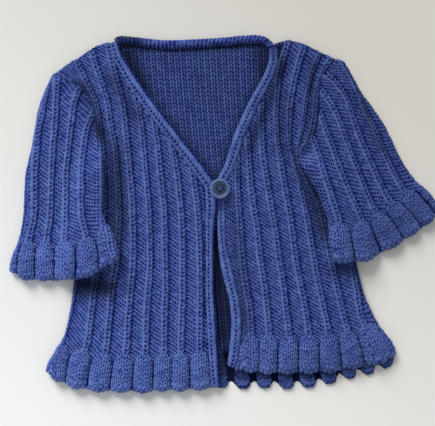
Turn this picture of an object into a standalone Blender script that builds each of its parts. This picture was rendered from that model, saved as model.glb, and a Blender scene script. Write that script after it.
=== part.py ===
"""Hand-knitted child's cardigan, laid flat with its front up.

Lengths are in millimetres in the tables and become metres when a mesh is made.
X runs to the viewer's right, Y to the neck and Z up from the surface it lies on.
Left and right are the viewer's.
"""
import math
from collections import namedtuple

import bmesh
import bpy
from mathutils import Vector

MM = 0.001
CENTRE = Vector((0.8, -0.4))        # middle of the garment's outline, taken off every point

# Cloth
WALL = 2.2                  # thickness of the purl ground
RIB_RISE = 1.4              # knit rib above the purl ground
SEAM = 0.3                  # gap between neighbouring pieces
EDGE_GAP = 0.8              # gap between two sewn edges that lie side by side
EDGE_DRAWN_IN = 1.4         # the wall's inner face stops this much before a sewn edge
STEEP_LIMIT = 8.0           # and never further down than this where the edge is steep
INSIDE_RISE = 0.7           # three knit columns above the purl column on the wrong side
BACK_TOP = WALL + INSIDE_RISE
FRONT_UNDER = BACK_TOP + SEAM
STACK_TOP = FRONT_UNDER + WALL + RIB_RISE
SLEEVE_OVER = STACK_TOP + SEAM + 0.2

# Ruffle
LOBE_LENGTH = 34.0          # from the cast-on edge to the arch where a lobe starts
LOBE_ARCH = 13.0            # height of that arch
LOBE_CREST = 5.2            # top of a lobe above the wall's underside
LOBE_VALLEY = 1.5           # cloth left in the groove between two lobes
LOBE_HOLLOW = 1.4           # the wall's underside rises by this much under a lobe
SCALLOP = 3.2               # how far the groove's edge stays behind the lobe's tip
EDGE_ROUND = 0.55           # height at the cast-on edge, as a share of the lobe's

# Sleeve tube
FOLD_RADIUS = 5.0           # width over which the wall turns at the two folds
SLEEVE_PUFF = 1.5           # the upper layer stands up by this much along the sleeve's middle
DRAPE_RAMP = 26.0           # the sleeve climbs onto the body's side over this width
SIDE_RISE = 0.7             # ribs on a fold stand out sideways by this share of their height
FOLD_START = 25.0           # fully so from this far below the armhole

COLUMNS = (-0.5, -0.27, -0.13, 0.13, 0.27)          # across one repeat, centred on its rib
RIB_SHAPE = (0.0, 0.0, 1.0, 1.0, 0.0)
LOBE_COLUMNS = (-0.5, -0.39, -0.17, 0.17, 0.39)
LOBE_SHAPE = (0.0, 0.78, 1.0, 1.0, 0.78)
LOBE_ROWS = (0.0, 0.07, 0.3, 0.6, 0.82, 1.0)        # shares of LOBE_LENGTH
BODY_ROWS = 15                                      # rows of points above the ruffle
BODY_CROWD = 1.35                                   # rows draw together towards the shoulder
SLEEVE_ROWS = 9
REACH = 160.0                                       # no panel goes further up than this

BLUE = (0.058, 0.102, 0.319, 1.0)
BUTTON_BLUE = (0.117, 0.221, 0.371, 1.0)

Line = namedtuple("Line", "x y")
Side = namedtuple("Side", "y x")

# Across the left front: its side edge, then its ribs from the side to the band
LEFT_SIDE = (
    Side(-161.1, -161.1), Side(-141.3, -159.8), Side(-123.3, -151.2), Side(-109.8, -143.1),
    Side(-87.3, -137.7), Side(-60.3, -133.7), Side(-22.5, -127.8), Side(16.2, -120.6),
    Side(56.7, -113.4), Side(79.2, -115.2), Side(97.2, -118.8), Side(108.0, -124.2),
    Side(117.9, -137.7), Side(125.1, -150.3), Side(151.2, -175.0),
)
LeftRibs = namedtuple("LeftRibs", "y rib1 rib2 rib3 rib4 rib5 rib6 rib7")
LEFT_RIBS = (
    LeftRibs(-158.0, -136.0, -114.5, -94.0, -74.4, -56.3, -40.6, -23.2),
    LeftRibs(-136.0, -131.5, -111.5, -92.0, -73.6, -56.2, -40.6, -23.4),
    LeftRibs(-118.0, -125.6, -107.6, -89.5, -72.6, -56.0, -41.0, -24.2),
    LeftRibs(-98.0, -122.6, -105.6, -88.5, -72.2, -55.8, -40.6, -24.3),
    LeftRibs(-70.0, -119.0, -103.0, -86.0, -70.2, -54.6, -39.4, -23.3),
    LeftRibs(-40.0, -115.0, -98.8, -83.9, -68.2, -55.1, -39.3, -23.5),
    LeftRibs(-4.0, -111.5, -96.0, -84.2, -69.2, -55.9, -40.2, -25.4),
    LeftRibs(38.0, -110.0, -97.4, -87.0, -72.2, -59.6, -44.9, -30.6),
    LeftRibs(60.0, -111.2, -99.4, -88.9, -74.3, -61.3, -48.4, -35.0),
    LeftRibs(80.0, -113.0, -103.6, -90.7, -76.3, -63.8, -51.6, -39.6),
    LeftRibs(97.0, -115.8, -106.4, -92.9, -79.0, -66.4, -54.4, -43.0),
    LeftRibs(117.5, -125.4, -112.6, -98.6, -82.8, -69.6, -57.4, -46.0),
    LeftRibs(135.5, -134.6, -118.6, -103.0, -86.0, -72.4, -60.0, -48.2),
    LeftRibs(151.2, -141.0, -122.6, -106.2, -89.0, -75.0, -62.0, -49.6),
)

# Across the right front: its side edge, then its ribs from the band to the side
RIGHT_SIDE = (
    Side(-158.0, 158.5), Side(-145.8, 157.5), Side(-130.5, 155.7), Side(-117.0, 151.2),
    Side(-101.7, 139.5), Side(-72.9, 125.1), Side(-58.5, 121.5), Side(-9.9, 108.0),
    Side(27.9, 87.3), Side(54.9, 69.8), Side(63.0, 78.3), Side(74.7, 84.6), Side(97.2, 86.4),
    Side(115.2, 87.3), Side(126.9, 91.8), Side(136.8, 101.7), Side(155.7, 120.0),
)
RightRibs = namedtuple("RightRibs", "y rib0 rib1 rib2 rib3 rib4 rib5 rib6")
RIGHT_RIBS = (
    RightRibs(-158.0, 22.6, 36.8, 56.0, 75.8, 95.6, 117.4, 140.6),
    RightRibs(-140.0, 22.8, 37.6, 56.2, 75.2, 94.6, 115.6, 137.5),
    RightRibs(-118.0, 22.8, 38.5, 56.5, 74.8, 93.4, 111.8, 130.5),
    RightRibs(-105.0, 22.4, 38.0, 55.6, 73.6, 91.4, 108.6, 125.6),
    RightRibs(-87.0, 21.0, 36.6, 53.8, 71.0, 87.7, 104.0, 119.6),
    RightRibs(-63.0, 17.2, 34.0, 50.7, 66.4, 82.6, 98.7, 116.4),
    RightRibs(-40.0, 14.6, 30.4, 47.0, 62.0, 78.4, 93.8, 112.6),
    RightRibs(-15.0, 12.3, 27.4, 43.6, 58.8, 74.2, 89.4, 106.0),
    RightRibs(5.0, 11.6, 24.2, 40.2, 55.8, 70.8, 84.8, 96.4),
    RightRibs(28.0, 10.6, 21.4, 36.2, 51.8, 66.4, 74.6, 83.0),
    RightRibs(54.9, 11.0, 20.4, 32.6, 47.8, 59.6, 65.4, 68.2),
    RightRibs(63.0, 11.0, 19.8, 32.2, 46.6, 57.4, 66.4, 73.0),
    RightRibs(86.0, 9.6, 17.0, 32.0, 45.2, 56.2, 70.6, 79.4),
    RightRibs(104.0, 7.0, 15.8, 32.2, 46.1, 58.0, 73.0, 81.0),
    RightRibs(122.0, 4.0, 16.8, 33.2, 47.0, 61.5, 76.4, 85.4),
    RightRibs(140.0, 1.0, 19.0, 36.0, 51.2, 66.6, 82.7, 94.6),
    RightRibs(155.7, -1.0, 21.0, 39.6, 55.8, 72.0, 89.4, 105.0),
)

# Height where the sleeve's seam starts, at the underarm, and ends, at the shoulder
Armhole = namedtuple("Armhole", "underarm shoulder")
LEFT_ARMHOLE = Armhole(56.7, 125.1)
RIGHT_ARMHOLE = Armhole(54.9, 136.8)

LEFT_HEM = (
    Line(-162.0, -142.0), Line(-152.0, -150.5), Line(-133.0, -157.5), Line(-113.0, -160.2),
    Line(-84.6, -161.1), Line(-40.0, -160.2), Line(-11.0, -158.4),
)
RIGHT_HEM = (
    Line(15.0, -142.5), Line(39.0, -144.0), Line(77.0, -144.0), Line(115.0, -140.4),
    Line(139.0, -135.9), Line(155.0, -128.0), Line(159.0, -121.0),
)
BACK_HEM = (
    Line(-161.0, -139.0), Line(-138.6, -150.3), Line(-111.6, -153.9), Line(-66.6, -156.6),
    Line(-8.1, -157.5), Line(38.7, -158.4), Line(79.2, -156.6), Line(102.6, -152.1),
    Line(124.2, -147.6), Line(144.9, -140.4), Line(158.0, -131.0),
)
LEFT_SHOULDER = (
    Line(-150.3, 125.1), Line(-141.3, 132.3), Line(-128.7, 140.0), Line(-116.1, 148.8),
    Line(-103.6, 153.0),
)
RIGHT_SHOULDER = (
    Line(52.6, 154.2), Line(58.5, 154.8), Line(72.9, 150.7), Line(87.8, 143.1),
    Line(101.7, 136.8),
)

# Across the back: two ribs that run up inside the V, and one at the right of the hem
BackSection = namedtuple("BackSection", "y rib4 rib11 rib13")
BACK_SECTIONS = (
    BackSection(-160.0, -64.0, 76.5, 119.0),
    BackSection(-125.0, -64.0, 68.0, 104.0),
    BackSection(-60.0, -63.0, 55.0, 86.0),
    BackSection(0.0, -62.5, 46.0, 72.0),
    BackSection(54.0, -67.5, 40.0, 54.5),
    BackSection(100.0, -72.8, 37.2, 61.0),
    BackSection(155.0, -77.8, 35.2, 70.0),
)

# Sleeves in their own flat frame: down runs from the underarm to the cuff, the rest outward
SleeveSection = namedtuple("SleeveSection", "down inner rib0 rib1 rib2 rib3 rib4 outer")
LEFT_SLEEVE = (
    SleeveSection(-66.0, -14.0, -12.0, -4.0, 10.0, 38.6, 40.5, 41.5),
    SleeveSection(-49.5, -13.0, -11.0, -1.8, 21.2, 39.6, 46.4, 49.1),
    SleeveSection(-34.2, -12.0, -9.5, 5.4, 24.8, 40.2, 50.9, 54.0),
    SleeveSection(-18.0, -10.5, -7.5, 12.2, 26.4, 41.0, 54.9, 56.7),
    SleeveSection(-2.7, -8.5, -5.0, 14.9, 27.9, 42.5, 56.9, 59.4),
    SleeveSection(25.2, -5.4, -2.4, 16.6, 30.8, 43.4, 59.1, 65.4),
    SleeveSection(54.9, -4.6, -1.8, 16.2, 30.8, 44.5, 59.1, 66.7),
    SleeveSection(81.0, -14.8, -6.3, 10.8, 31.5, 47.9, 63.9, 71.0),
    SleeveSection(100.8, -18.9, -9.5, 9.0, 31.5, 49.5, 66.6, 78.3),
    SleeveSection(117.0, -17.6, -9.0, 9.9, 32.2, 49.5, 67.0, 80.6),
)
RIGHT_SLEEVE = (
    SleeveSection(-60.0, -16.0, 14.0, 30.0, 34.0, 44.5, 65.0, 68.4),
    SleeveSection(-45.0, -15.0, 15.0, 30.5, 37.5, 52.5, 66.8, 70.5),
    SleeveSection(-27.0, -12.0, 16.0, 30.0, 41.5, 57.0, 68.2, 72.8),
    SleeveSection(-9.0, -8.0, 15.5, 28.5, 43.0, 55.4, 68.7, 77.4),
    SleeveSection(9.0, -1.8, 14.4, 28.3, 42.0, 54.2, 69.8, 80.8),
    SleeveSection(27.0, 0.6, 11.4, 27.0, 41.4, 54.3, 69.4, 81.8),
    SleeveSection(45.0, 2.6, 10.2, 26.6, 41.4, 54.7, 70.0, 83.6),
    SleeveSection(63.0, 2.4, 9.0, 27.3, 41.0, 55.8, 72.0, 87.8),
    SleeveSection(76.5, -0.5, 7.5, 27.6, 41.8, 58.7, 75.2, 94.5),
    SleeveSection(90.0, -4.7, 3.2, 24.4, 44.2, 63.5, 81.4, 98.5),
    SleeveSection(110.0, -8.0, -1.0, 20.2, 47.7, 68.6, 87.0, 103.0),
)
SLEEVE_RIBS_ON_TOP = (-0.4, 0.0, 1.0, 2.0, 3.0, 4.0, 5.0)       # columns of the tables above
SLEEVE_REPEATS = 10                 # ribs all round
SLEEVE_REACH = -75.0                # no sleeve goes further up than this
INNER_FOLD = -0.4
OUTER_FOLD = 5.0

# How the sleeve's top edge goes on past the seam's two ends, outward and down from each
EdgeStep = namedtuple("EdgeStep", "out down")
UNDERARM_RUN = (EdgeStep(-30.0, 22.0), EdgeStep(-6.0, 6.0))
SHOULDER_RUN = (EdgeStep(9.0, 7.0), EdgeStep(16.0, 22.0))

CuffPoint = namedtuple("CuffPoint", "out down")
LEFT_CUFF = (
    CuffPoint(-20.0, 98.0), CuffPoint(-10.0, 102.5), CuffPoint(0.0, 109.0), CuffPoint(12.0, 113.5),
    CuffPoint(32.0, 116.5), CuffPoint(50.0, 116.8), CuffPoint(66.0, 116.0), CuffPoint(81.0, 107.5),
)
RIGHT_CUFF = (
    CuffPoint(-9.0, 103.0), CuffPoint(0.0, 107.0), CuffPoint(22.0, 113.0), CuffPoint(48.0, 111.0),
    CuffPoint(68.0, 107.5), CuffPoint(87.0, 102.0), CuffPoint(103.0, 95.0),
)

# Where the sleeves hang from: underarm point and the sleeve's turn away from straight down
SleeveFrame = namedtuple("SleeveFrame", "x y turn outward")
LEFT_FRAME = SleeveFrame(-113.4, 56.7, 0.0, -1.0)
RIGHT_FRAME = SleeveFrame(66.6, 54.9, math.radians(22.0), 1.0)

# Soft folds in the fronts: ends, width across and rise of the cloth
Fold = namedtuple("Fold", "x1 y1 x2 y2 width rise")
FOLDS = (
    Fold(-62.0, 62.0, -70.0, -30.0, 22.0, 1.8),
    Fold(-92.0, 112.0, -84.0, 40.0, 16.0, 1.6),
    Fold(60.0, 122.0, 50.0, 20.0, 13.0, 2.4),
    Fold(30.0, 40.0, 44.0, -60.0, 16.0, 1.8),
    Fold(70.0, 10.0, 82.0, -50.0, 12.0, 1.5),
)

# Bands: centre line, width, underside and height
BandPoint = namedtuple("BandPoint", "x y width under height")
LEFT_BAND = (
    BandPoint(-99.0, 154.0, 7.4, 3.4, 3.8),
    BandPoint(-96.0, 142.0, 8.6, 3.4, 4.2),
    BandPoint(-88.6, 128.7, 9.6, 3.4, 4.4),
    BandPoint(-77.2, 110.7, 10.4, 3.4, 4.4),
    BandPoint(-57.0, 83.7, 10.6, 3.4, 4.4),
    BandPoint(-37.6, 58.6, 10.8, 3.4, 4.4),
    BandPoint(-20.6, 36.4, 10.8, 4.6, 3.8),
    BandPoint(-11.6, 20.6, 11.0, 6.6, 3.0),
    BandPoint(-11.0, 6.3, 10.6, 6.6, 3.0),
    BandPoint(-12.1, -10.0, 9.0, 4.2, 4.0),
    BandPoint(-12.6, -28.8, 7.2, 3.4, 4.4),
    BandPoint(-12.6, -63.0, 7.2, 3.4, 4.4),
    BandPoint(-11.0, -96.3, 8.4, 3.4, 4.4),
    BandPoint(-9.2, -129.6, 8.4, 3.4, 4.4),
    BandPoint(-7.4, -157.0, 7.4, 3.4, 3.6),
)
RIGHT_BAND = (
    BandPoint(43.9, 148.6, 7.4, 3.4, 3.8),
    BandPoint(44.6, 144.0, 7.8, 3.4, 4.0),
    BandPoint(44.6, 138.6, 8.2, 3.4, 4.2),
    BandPoint(42.6, 130.0, 8.6, 3.4, 4.4),
    BandPoint(39.0, 121.0, 9.0, 3.4, 4.4),
    BandPoint(26.6, 98.1, 9.4, 3.4, 4.4),
    BandPoint(13.4, 68.0, 9.6, 3.4, 4.4),
    BandPoint(5.0, 42.0, 9.4, 3.4, 3.6),
    BandPoint(-2.4, 26.0, 8.4, 3.4, 2.8),
    BandPoint(-2.8, 6.0, 7.6, 3.4, 2.8),
    BandPoint(-2.2, -14.4, 7.6, 3.4, 3.6),
    BandPoint(-1.4, -28.8, 7.2, 3.4, 4.4),
    BandPoint(1.6, -45.9, 9.6, 3.4, 4.4),
    BandPoint(5.4, -63.0, 9.4, 3.4, 4.4),
    BandPoint(9.4, -80.0, 8.8, 3.4, 4.4),
    BandPoint(11.2, -100.8, 9.2, 3.4, 4.4),
    BandPoint(9.9, -118.8, 9.2, 3.4, 4.4),
    BandPoint(8.2, -131.4, 9.0, 3.4, 4.0),
    BandPoint(6.6, -138.6, 7.0, 3.4, 3.4),
)
NECK_BAND = (
    BandPoint(-94.0, 156.2, 7.0, 0.3, 5.4),
    BandPoint(-75.6, 154.2, 8.0, 0.3, 5.8),
    BandPoint(-50.4, 151.8, 8.2, 0.3, 6.0),
    BandPoint(-28.8, 152.7, 8.0, 0.3, 6.0),
    BandPoint(-3.6, 154.2, 7.8, 0.3, 6.0),
    BandPoint(17.1, 156.2, 7.8, 0.3, 6.0),
    BandPoint(28.0, 156.8, 7.6, 0.3, 6.0),
    BandPoint(35.6, 155.6, 7.2, 0.3, 5.8),
    BandPoint(40.2, 152.6, 6.8, 0.3, 5.4),
)
BAND_STEP = 9.0
V_START = 18.0                      # height of the button, where the V begins
V_HEIGHTS = (40.0, 80.0, 120.0, 156.0)
# Half of a band's section: across as a share of half the width, up as a share of the height
BandSide = namedtuple("BandSide", "across up")
TWO_STITCHES = (
    BandSide(0.0, 0.78), BandSide(0.42, 1.0), BandSide(0.82, 0.84), BandSide(1.0, 0.42),
    BandSide(0.84, 0.0),
)
ROLL = (
    BandSide(0.0, 1.0), BandSide(0.5, 0.9), BandSide(0.9, 0.62), BandSide(0.96, 0.3),
    BandSide(0.7, 0.0),
)

# Button
BUTTON_X = -3.6
BUTTON_Y = 21.6
BUTTON_UNDER = 9.9
BUTTON_RADIUS = 9.0
BUTTON_THICK = 3.0
BUTTON_DISH_RADIUS = 6.2
BUTTON_DISH = 0.9
BUTTON_HOLE = 1.0
BUTTON_HOLE_SPREAD = 3.0
BUTTON_HOLE_TURN = math.radians(-8.0)
BUTTON_SIDES = 36


def clear_scene():
    for item in list(bpy.data.objects):
        bpy.data.objects.remove(item, do_unlink=True)


def smooth_step(value):
    value = min(max(value, 0.0), 1.0)
    return value * value * (3.0 - 2.0 * value)


def curve_through(points):
    """Return a smooth function through (position, value) points that never overshoots."""
    places = [point[0] for point in points]
    values = [point[1] for point in points]
    gaps = [b - a for a, b in zip(places, places[1:])]
    slopes = [(b - a) / gap for a, b, gap in zip(values, values[1:], gaps)]
    tangents = [slopes[0]]
    for before, after in zip(slopes, slopes[1:]):
        if before * after <= 0.0:
            tangents.append(0.0)
        else:
            tangents.append(2.0 * before * after / (before + after))
    tangents.append(slopes[-1])

    def value_at(place):
        place = min(max(place, places[0]), places[-1])
        index = 0
        while index < len(gaps) - 1 and place > places[index + 1]:
            index += 1
        gap = gaps[index]
        t = (place - places[index]) / gap
        start = (1.0 + 2.0 * t) * (1.0 - t) ** 2 * values[index]
        end = t * t * (3.0 - 2.0 * t) * values[index + 1]
        lean = t * (1.0 - t) ** 2 * gap * tangents[index]
        lean_end = t * t * (t - 1.0) * gap * tangents[index + 1]
        return start + end + lean + lean_end

    return value_at


def straight_through(points):
    """Return a function that joins (position, value) points by straight lines."""
    def value_at(place):
        for first, second in zip(points, points[1:]):
            if place <= second[0] or second is points[-1]:
                share = (place - first[0]) / (second[0] - first[0])
                share = min(max(share, 0.0), 1.0)
                return first[1] + share * (second[1] - first[1])
        return points[-1][1]

    return value_at


def across_guides(numbers, guides):
    """Place a column between the guide ribs that lie on each side of it."""
    def place_of(column, height):
        index = 0
        while index < len(numbers) - 2 and column > numbers[index + 1]:
            index += 1
        share = (column - numbers[index]) / (numbers[index + 1] - numbers[index])
        low = guides[index](height)
        high = guides[index + 1](height)
        return low + share * (high - low)

    return place_of


def crossing(inside, start, end):
    """Find where a walk from start, which is inside, to end first leaves the cloth."""
    steps = 60
    before = start
    for step in range(1, steps + 1):
        place = start + (end - start) * step / steps
        if not inside(place):
            low, high = before, place
            for _ in range(24):
                middle = 0.5 * (low + high)
                if inside(middle):
                    low = middle
                else:
                    high = middle
            return low
        before = place
    return end


def repeat_of(number):
    """Split a column number into its repeat and its place in COLUMNS."""
    repeat = math.floor(number + 0.5 + 1e-6)
    return repeat, number - repeat


def column_plan(first, last, places=COLUMNS):
    """List every column between two numbers, the ends included."""
    plan = [first]
    for repeat in range(math.floor(first), math.ceil(last) + 1):
        for place in places:
            number = repeat + place
            if first + 0.06 < number < last - 0.06:
                plan.append(number)
    plan.append(last)
    return plan


def shape_at(number, places, shape):
    _, offset = repeat_of(number)
    points = [*zip(places, shape), (0.5, shape[0])]
    return straight_through(points)(offset)


def lobe_share(distance):
    """1 in the ruffle, 0 above it, with the arch between."""
    return smooth_step((LOBE_LENGTH - distance) / LOBE_ARCH)


def slide_column(number, distance):
    """Move a rib's columns out to the lobe's own columns as the lobe opens."""
    repeat, offset = repeat_of(number)
    moved = straight_through([*zip(COLUMNS, LOBE_COLUMNS), (0.5, 0.5)])(offset)
    share = lobe_share(distance)
    return repeat + offset + share * (moved - offset)


def ribbed_height(number, distance, rib_rise):
    """Height of the outer points above the wall's underside."""
    rib = WALL + rib_rise * shape_at(number, COLUMNS, RIB_SHAPE)
    lobe_column = shape_at(slide_column(number, distance), LOBE_COLUMNS, LOBE_SHAPE)
    lobe = LOBE_VALLEY + (LOBE_CREST - LOBE_VALLEY) * lobe_column
    edge = EDGE_ROUND + (1.0 - EDGE_ROUND) * smooth_step(distance / (0.07 * LOBE_LENGTH))
    share = lobe_share(distance)
    return (1.0 - share) * rib + share * lobe * edge


def hollow_height(number, distance):
    _, offset = repeat_of(number)
    return LOBE_HOLLOW * lobe_share(distance) * math.cos(math.pi * offset) ** 2


def inside_height(number, distance):
    """Upper face of the back: three knit columns between purl ones, then low lobes."""
    knit = WALL + INSIDE_RISE * (1.0 - shape_at(number, COLUMNS, RIB_SHAPE))
    lobe_column = shape_at(slide_column(number, distance), LOBE_COLUMNS, LOBE_SHAPE)
    lobe = LOBE_VALLEY + (BACK_TOP - LOBE_VALLEY) * lobe_column
    edge = EDGE_ROUND + (1.0 - EDGE_ROUND) * smooth_step(distance / (0.07 * LOBE_LENGTH))
    share = lobe_share(distance)
    return (1.0 - share) * knit + share * lobe * edge


def scallop(number):
    _, offset = repeat_of(number)
    return SCALLOP * math.sin(math.pi * offset) ** 2


def fold_rise(x, y):
    """Soft folds, each highest on its own line and gone at its ends."""
    rise = 0.0
    for fold in FOLDS:
        along_x = fold.x2 - fold.x1
        along_y = fold.y2 - fold.y1
        length = math.hypot(along_x, along_y)
        along = ((x - fold.x1) * along_x + (y - fold.y1) * along_y) / length ** 2
        aside = ((x - fold.x1) * along_y - (y - fold.y1) * along_x) / length
        if 0.0 < along < 1.0:
            ends = math.sin(math.pi * along)
            rise += fold.rise * ends * math.exp(-(2.0 * aside / fold.width) ** 2)
    return rise


def zip_rim(faces, first, second):
    """Close the strip between two rows of (place, vertex) that start and end together."""
    i = 0
    j = 0
    while i < len(first) - 1 or j < len(second) - 1:
        take_first = j == len(second) - 1
        if i < len(first) - 1 and j < len(second) - 1:
            take_first = first[i + 1][0] <= second[j + 1][0]
        if take_first:
            faces.append((first[i][1], first[i + 1][1], second[j][1]))
            i += 1
        else:
            faces.append((first[i][1], second[j + 1][1], second[j][1]))
            j += 1


def quads(faces, grid, around):
    columns = len(grid)
    last = columns if around else columns - 1
    for c in range(last):
        left = grid[c]
        right = grid[(c + 1) % columns]
        for r in range(len(left) - 1):
            faces.append((left[r], right[r], right[r + 1], left[r + 1]))


def cloth_wall(name, outer_columns, outer_point, inner_columns, inner_point, rows, around=False):
    """Make one closed wall from its outer and inner points, given by column and row."""
    vertices = []
    grids = []
    for columns, point in ((outer_columns, outer_point), (inner_columns, inner_point)):
        grid = []
        for number in columns:
            start = len(vertices)
            vertices.extend(point(number, row) for row in range(rows))
            grid.append(list(range(start, start + rows)))
        grids.append(grid)
    outer, inner = grids
    faces = []
    quads(faces, outer, around)
    quads(faces, inner, around)
    for row in (0, rows - 1):
        outer_edge = [(number, grid[row]) for number, grid in zip(outer_columns, outer)]
        inner_edge = [(number, grid[row]) for number, grid in zip(inner_columns, inner)]
        if around:
            turn = SLEEVE_REPEATS
            outer_edge.append((outer_columns[0] + turn, outer[0][row]))
            inner_edge.append((inner_columns[0] + turn, inner[0][row]))
        zip_rim(faces, outer_edge, inner_edge)
    if not around:
        for side in (0, -1):
            for r in range(rows - 1):
                low_out, high_out = outer[side][r], outer[side][r + 1]
                low_in, high_in = inner[side][r], inner[side][r + 1]
                faces.append((low_out, high_out, high_in, low_in))
    return make_object(name, vertices, faces, BLUE, 0.9)


def make_object(name, vertices, faces, colour, roughness):
    """Build the mesh in metres, turn its faces outward and give it its material."""
    work = bmesh.new()
    points = []
    for x, y, z in vertices:
        points.append(work.verts.new(((x - CENTRE.x) * MM, (y - CENTRE.y) * MM, z * MM)))
    for face in faces:
        work.faces.new([points[index] for index in face])
    bmesh.ops.recalc_face_normals(work, faces=work.faces)
    if work.calc_volume(signed=True) < 0.0:
        bmesh.ops.reverse_faces(work, faces=work.faces)
    mesh = bpy.data.meshes.new(name)
    work.to_mesh(mesh)
    work.free()
    return finish_object(name, mesh, colour, roughness)


def finish_object(name, mesh, colour, roughness):
    item = bpy.data.objects.new(name, mesh)
    collection.objects.link(item)
    material = bpy.data.materials.new(name)
    material.use_nodes = True
    shader = material.node_tree.nodes["Principled BSDF"]
    shader.inputs["Base Color"].default_value = colour
    shader.inputs["Roughness"].default_value = roughness
    mesh.materials.append(material)
    return item


def row_height(row, hem, top):
    """Height of a row: the ruffle's rows keep their distances, the rest share what is left."""
    if row < len(LOBE_ROWS):
        return hem + LOBE_LENGTH * LOBE_ROWS[row]
    share = (row - len(LOBE_ROWS) + 1) / BODY_ROWS
    share = 1.0 - (1.0 - share) ** BODY_CROWD
    return hem + LOBE_LENGTH + share * (top - hem - LOBE_LENGTH)


def flat_panel(name, first, last, place, hem_line, top_line, heights, inner_step):
    """Make a front or the back: heights gives the outer and inner z of a point."""
    hem_of = curve_through(hem_line)
    top_of = straight_through(top_line)
    outer_z, inner_z = heights

    def ends_of(number):
        hem = hem_of(place(number, hem_line[len(hem_line) // 2].y))
        hem = hem_of(place(number, hem))
        start = hem + LOBE_LENGTH
        inside = lambda y: y < top_of(place(number, y))
        top = crossing(inside, start, REACH)
        return hem, top

    ends = {}

    def spot(number, row, drawn_in):
        if number not in ends:
            ends[number] = ends_of(number)
        hem, top = ends[number]
        if drawn_in:
            x = place(number, top)
            steep = 0.5 * (top_of(x + 1.0) - top_of(x - 1.0))
            top -= min(drawn_in * math.hypot(1.0, steep), STEEP_LIMIT)
        y = row_height(row, hem, top)
        distance = y - hem
        moved = slide_column(number, distance)
        moved = min(max(moved, first), last)
        y += scallop(moved) * lobe_share(distance)
        return place(moved, y), y, distance

    def outer_point(number, row):
        x, y, distance = spot(number, row, 0.0)
        return x, y, outer_z(number, distance, x, y)

    def inner_point(number, row):
        x, y, distance = spot(number, row, EDGE_DRAWN_IN)
        return x, y, inner_z(number, distance, x, y)

    rows = len(LOBE_ROWS) + BODY_ROWS
    outer_columns = column_plan(first, last)
    inner_columns = column_plan(first, last, inner_step)
    return cloth_wall(name, outer_columns, outer_point, inner_columns, inner_point, rows)


def front_heights(number, distance, x, y):
    return FRONT_UNDER + fold_rise(x, y) + ribbed_height(number, distance, RIB_RISE)


def front_inside(number, distance, x, y):
    return FRONT_UNDER + fold_rise(x, y) + hollow_height(number, distance)


def back_heights(number, distance, x, y):
    return inside_height(number, distance)


def back_underside(number, distance, x, y):
    return 0.0


def guides_of(sections, names):
    return [curve_through([(row[0], getattr(row, name)) for row in sections]) for name in names]


def band_tracks(points):
    """Smooth the band's centre line, width, underside and height over its length."""
    lengths = [0.0]
    for a, b in zip(points, points[1:]):
        lengths.append(lengths[-1] + math.hypot(b.x - a.x, b.y - a.y))
    tracks = []
    for field in BandPoint._fields:
        tracks.append(curve_through([(s, getattr(p, field)) for s, p in zip(lengths, points)]))
    stations = max(4, round(lengths[-1] / BAND_STEP))
    return tracks, [lengths[-1] * station / stations for station in range(stations + 1)]


def band_direction(tracks, s, whole):
    ahead = min(s + 1.0, whole)
    behind = max(s - 1.0, 0.0)
    along_x = tracks[0](ahead) - tracks[0](behind)
    along_y = tracks[1](ahead) - tracks[1](behind)
    return math.atan2(along_y, along_x)


def band_edge(points, hand):
    """Edge of the cloth that is sewn to a band, to its left (1) or right (-1) along its run."""
    tracks, places = band_tracks(points)
    edge = []
    for s in places:
        turn = band_direction(tracks, s, places[-1])
        reach = hand * (0.5 * tracks[2](s) + EDGE_GAP)
        edge.append(Line(tracks[0](s) - math.sin(turn) * reach, tracks[1](s) + math.cos(turn) * reach))
    return edge


def inner_edge_guide(edge, rib_guide, beyond):
    """Edge along a band below the button, and the last rib's run above it."""
    low = sorted((point.y, point.x) for point in edge if point.y < V_START)
    high = [(y, rib_guide(y) + beyond) for y in V_HEIGHTS]
    return curve_through(low + high)


def left_front_place():
    side = guides_of(LEFT_SIDE, ("x",))
    ribs = guides_of(LEFT_RIBS, LeftRibs._fields[1:])
    inner = inner_edge_guide(band_edge(LEFT_BAND, -1.0), ribs[-1], 7.0)
    return across_guides((-0.5, 1.0, 2.0, 3.0, 4.0, 5.0, 6.0, 7.0, 7.5), (*side, *ribs, inner))


def right_front_place():
    side = guides_of(RIGHT_SIDE, ("x",))
    ribs = guides_of(RIGHT_RIBS, RightRibs._fields[1:])
    inner = inner_edge_guide(band_edge(RIGHT_BAND, 1.0), ribs[0], -9.2)
    return across_guides((-0.5, 0.0, 1.0, 2.0, 3.0, 4.0, 5.0, 6.0, 6.5), (inner, *ribs, *side))


def back_place():
    left_side = guides_of(LEFT_SIDE, ("x",))[0]
    right_side = guides_of(RIGHT_SIDE, ("x",))[0]
    ribs = guides_of(BACK_SECTIONS, BackSection._fields[1:])
    return across_guides((-0.5, 4.0, 11.0, 13.0, 15.5), (left_side, *ribs, right_side))


def left_front_top():
    v_edge = [point for point in band_edge(LEFT_BAND, -1.0) if point.y > V_START]
    return list(LEFT_SHOULDER) + sorted(point for point in v_edge if point.x > -103.0)


def right_front_top():
    v_edge = []
    for point in sorted(band_edge(RIGHT_BAND, 1.0), key=lambda point: point.y):
        if point.y > V_START and (not v_edge or point.x > v_edge[-1].x):
            v_edge.append(point)
    return v_edge + list(RIGHT_SHOULDER)


def back_top():
    neck = band_edge(NECK_BAND, -1.0)
    return list(LEFT_SHOULDER) + sorted(neck) + list(RIGHT_SHOULDER)


def make_fronts():
    heights = (front_heights, front_inside)
    left = (left_front_place(), LEFT_HEM, left_front_top())
    right = (right_front_place(), RIGHT_HEM, right_front_top())
    flat_panel("front_left", -0.5, 7.5, *left, heights, (-0.5, 0.0))
    flat_panel("front_right", -0.5, 6.5, *right, heights, (-0.5, 0.0))


def make_back():
    heights = (back_heights, back_underside)
    flat_panel("back", -0.5, 15.5, back_place(), BACK_HEM, back_top(), heights, (-0.5, 0.0))


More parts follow.
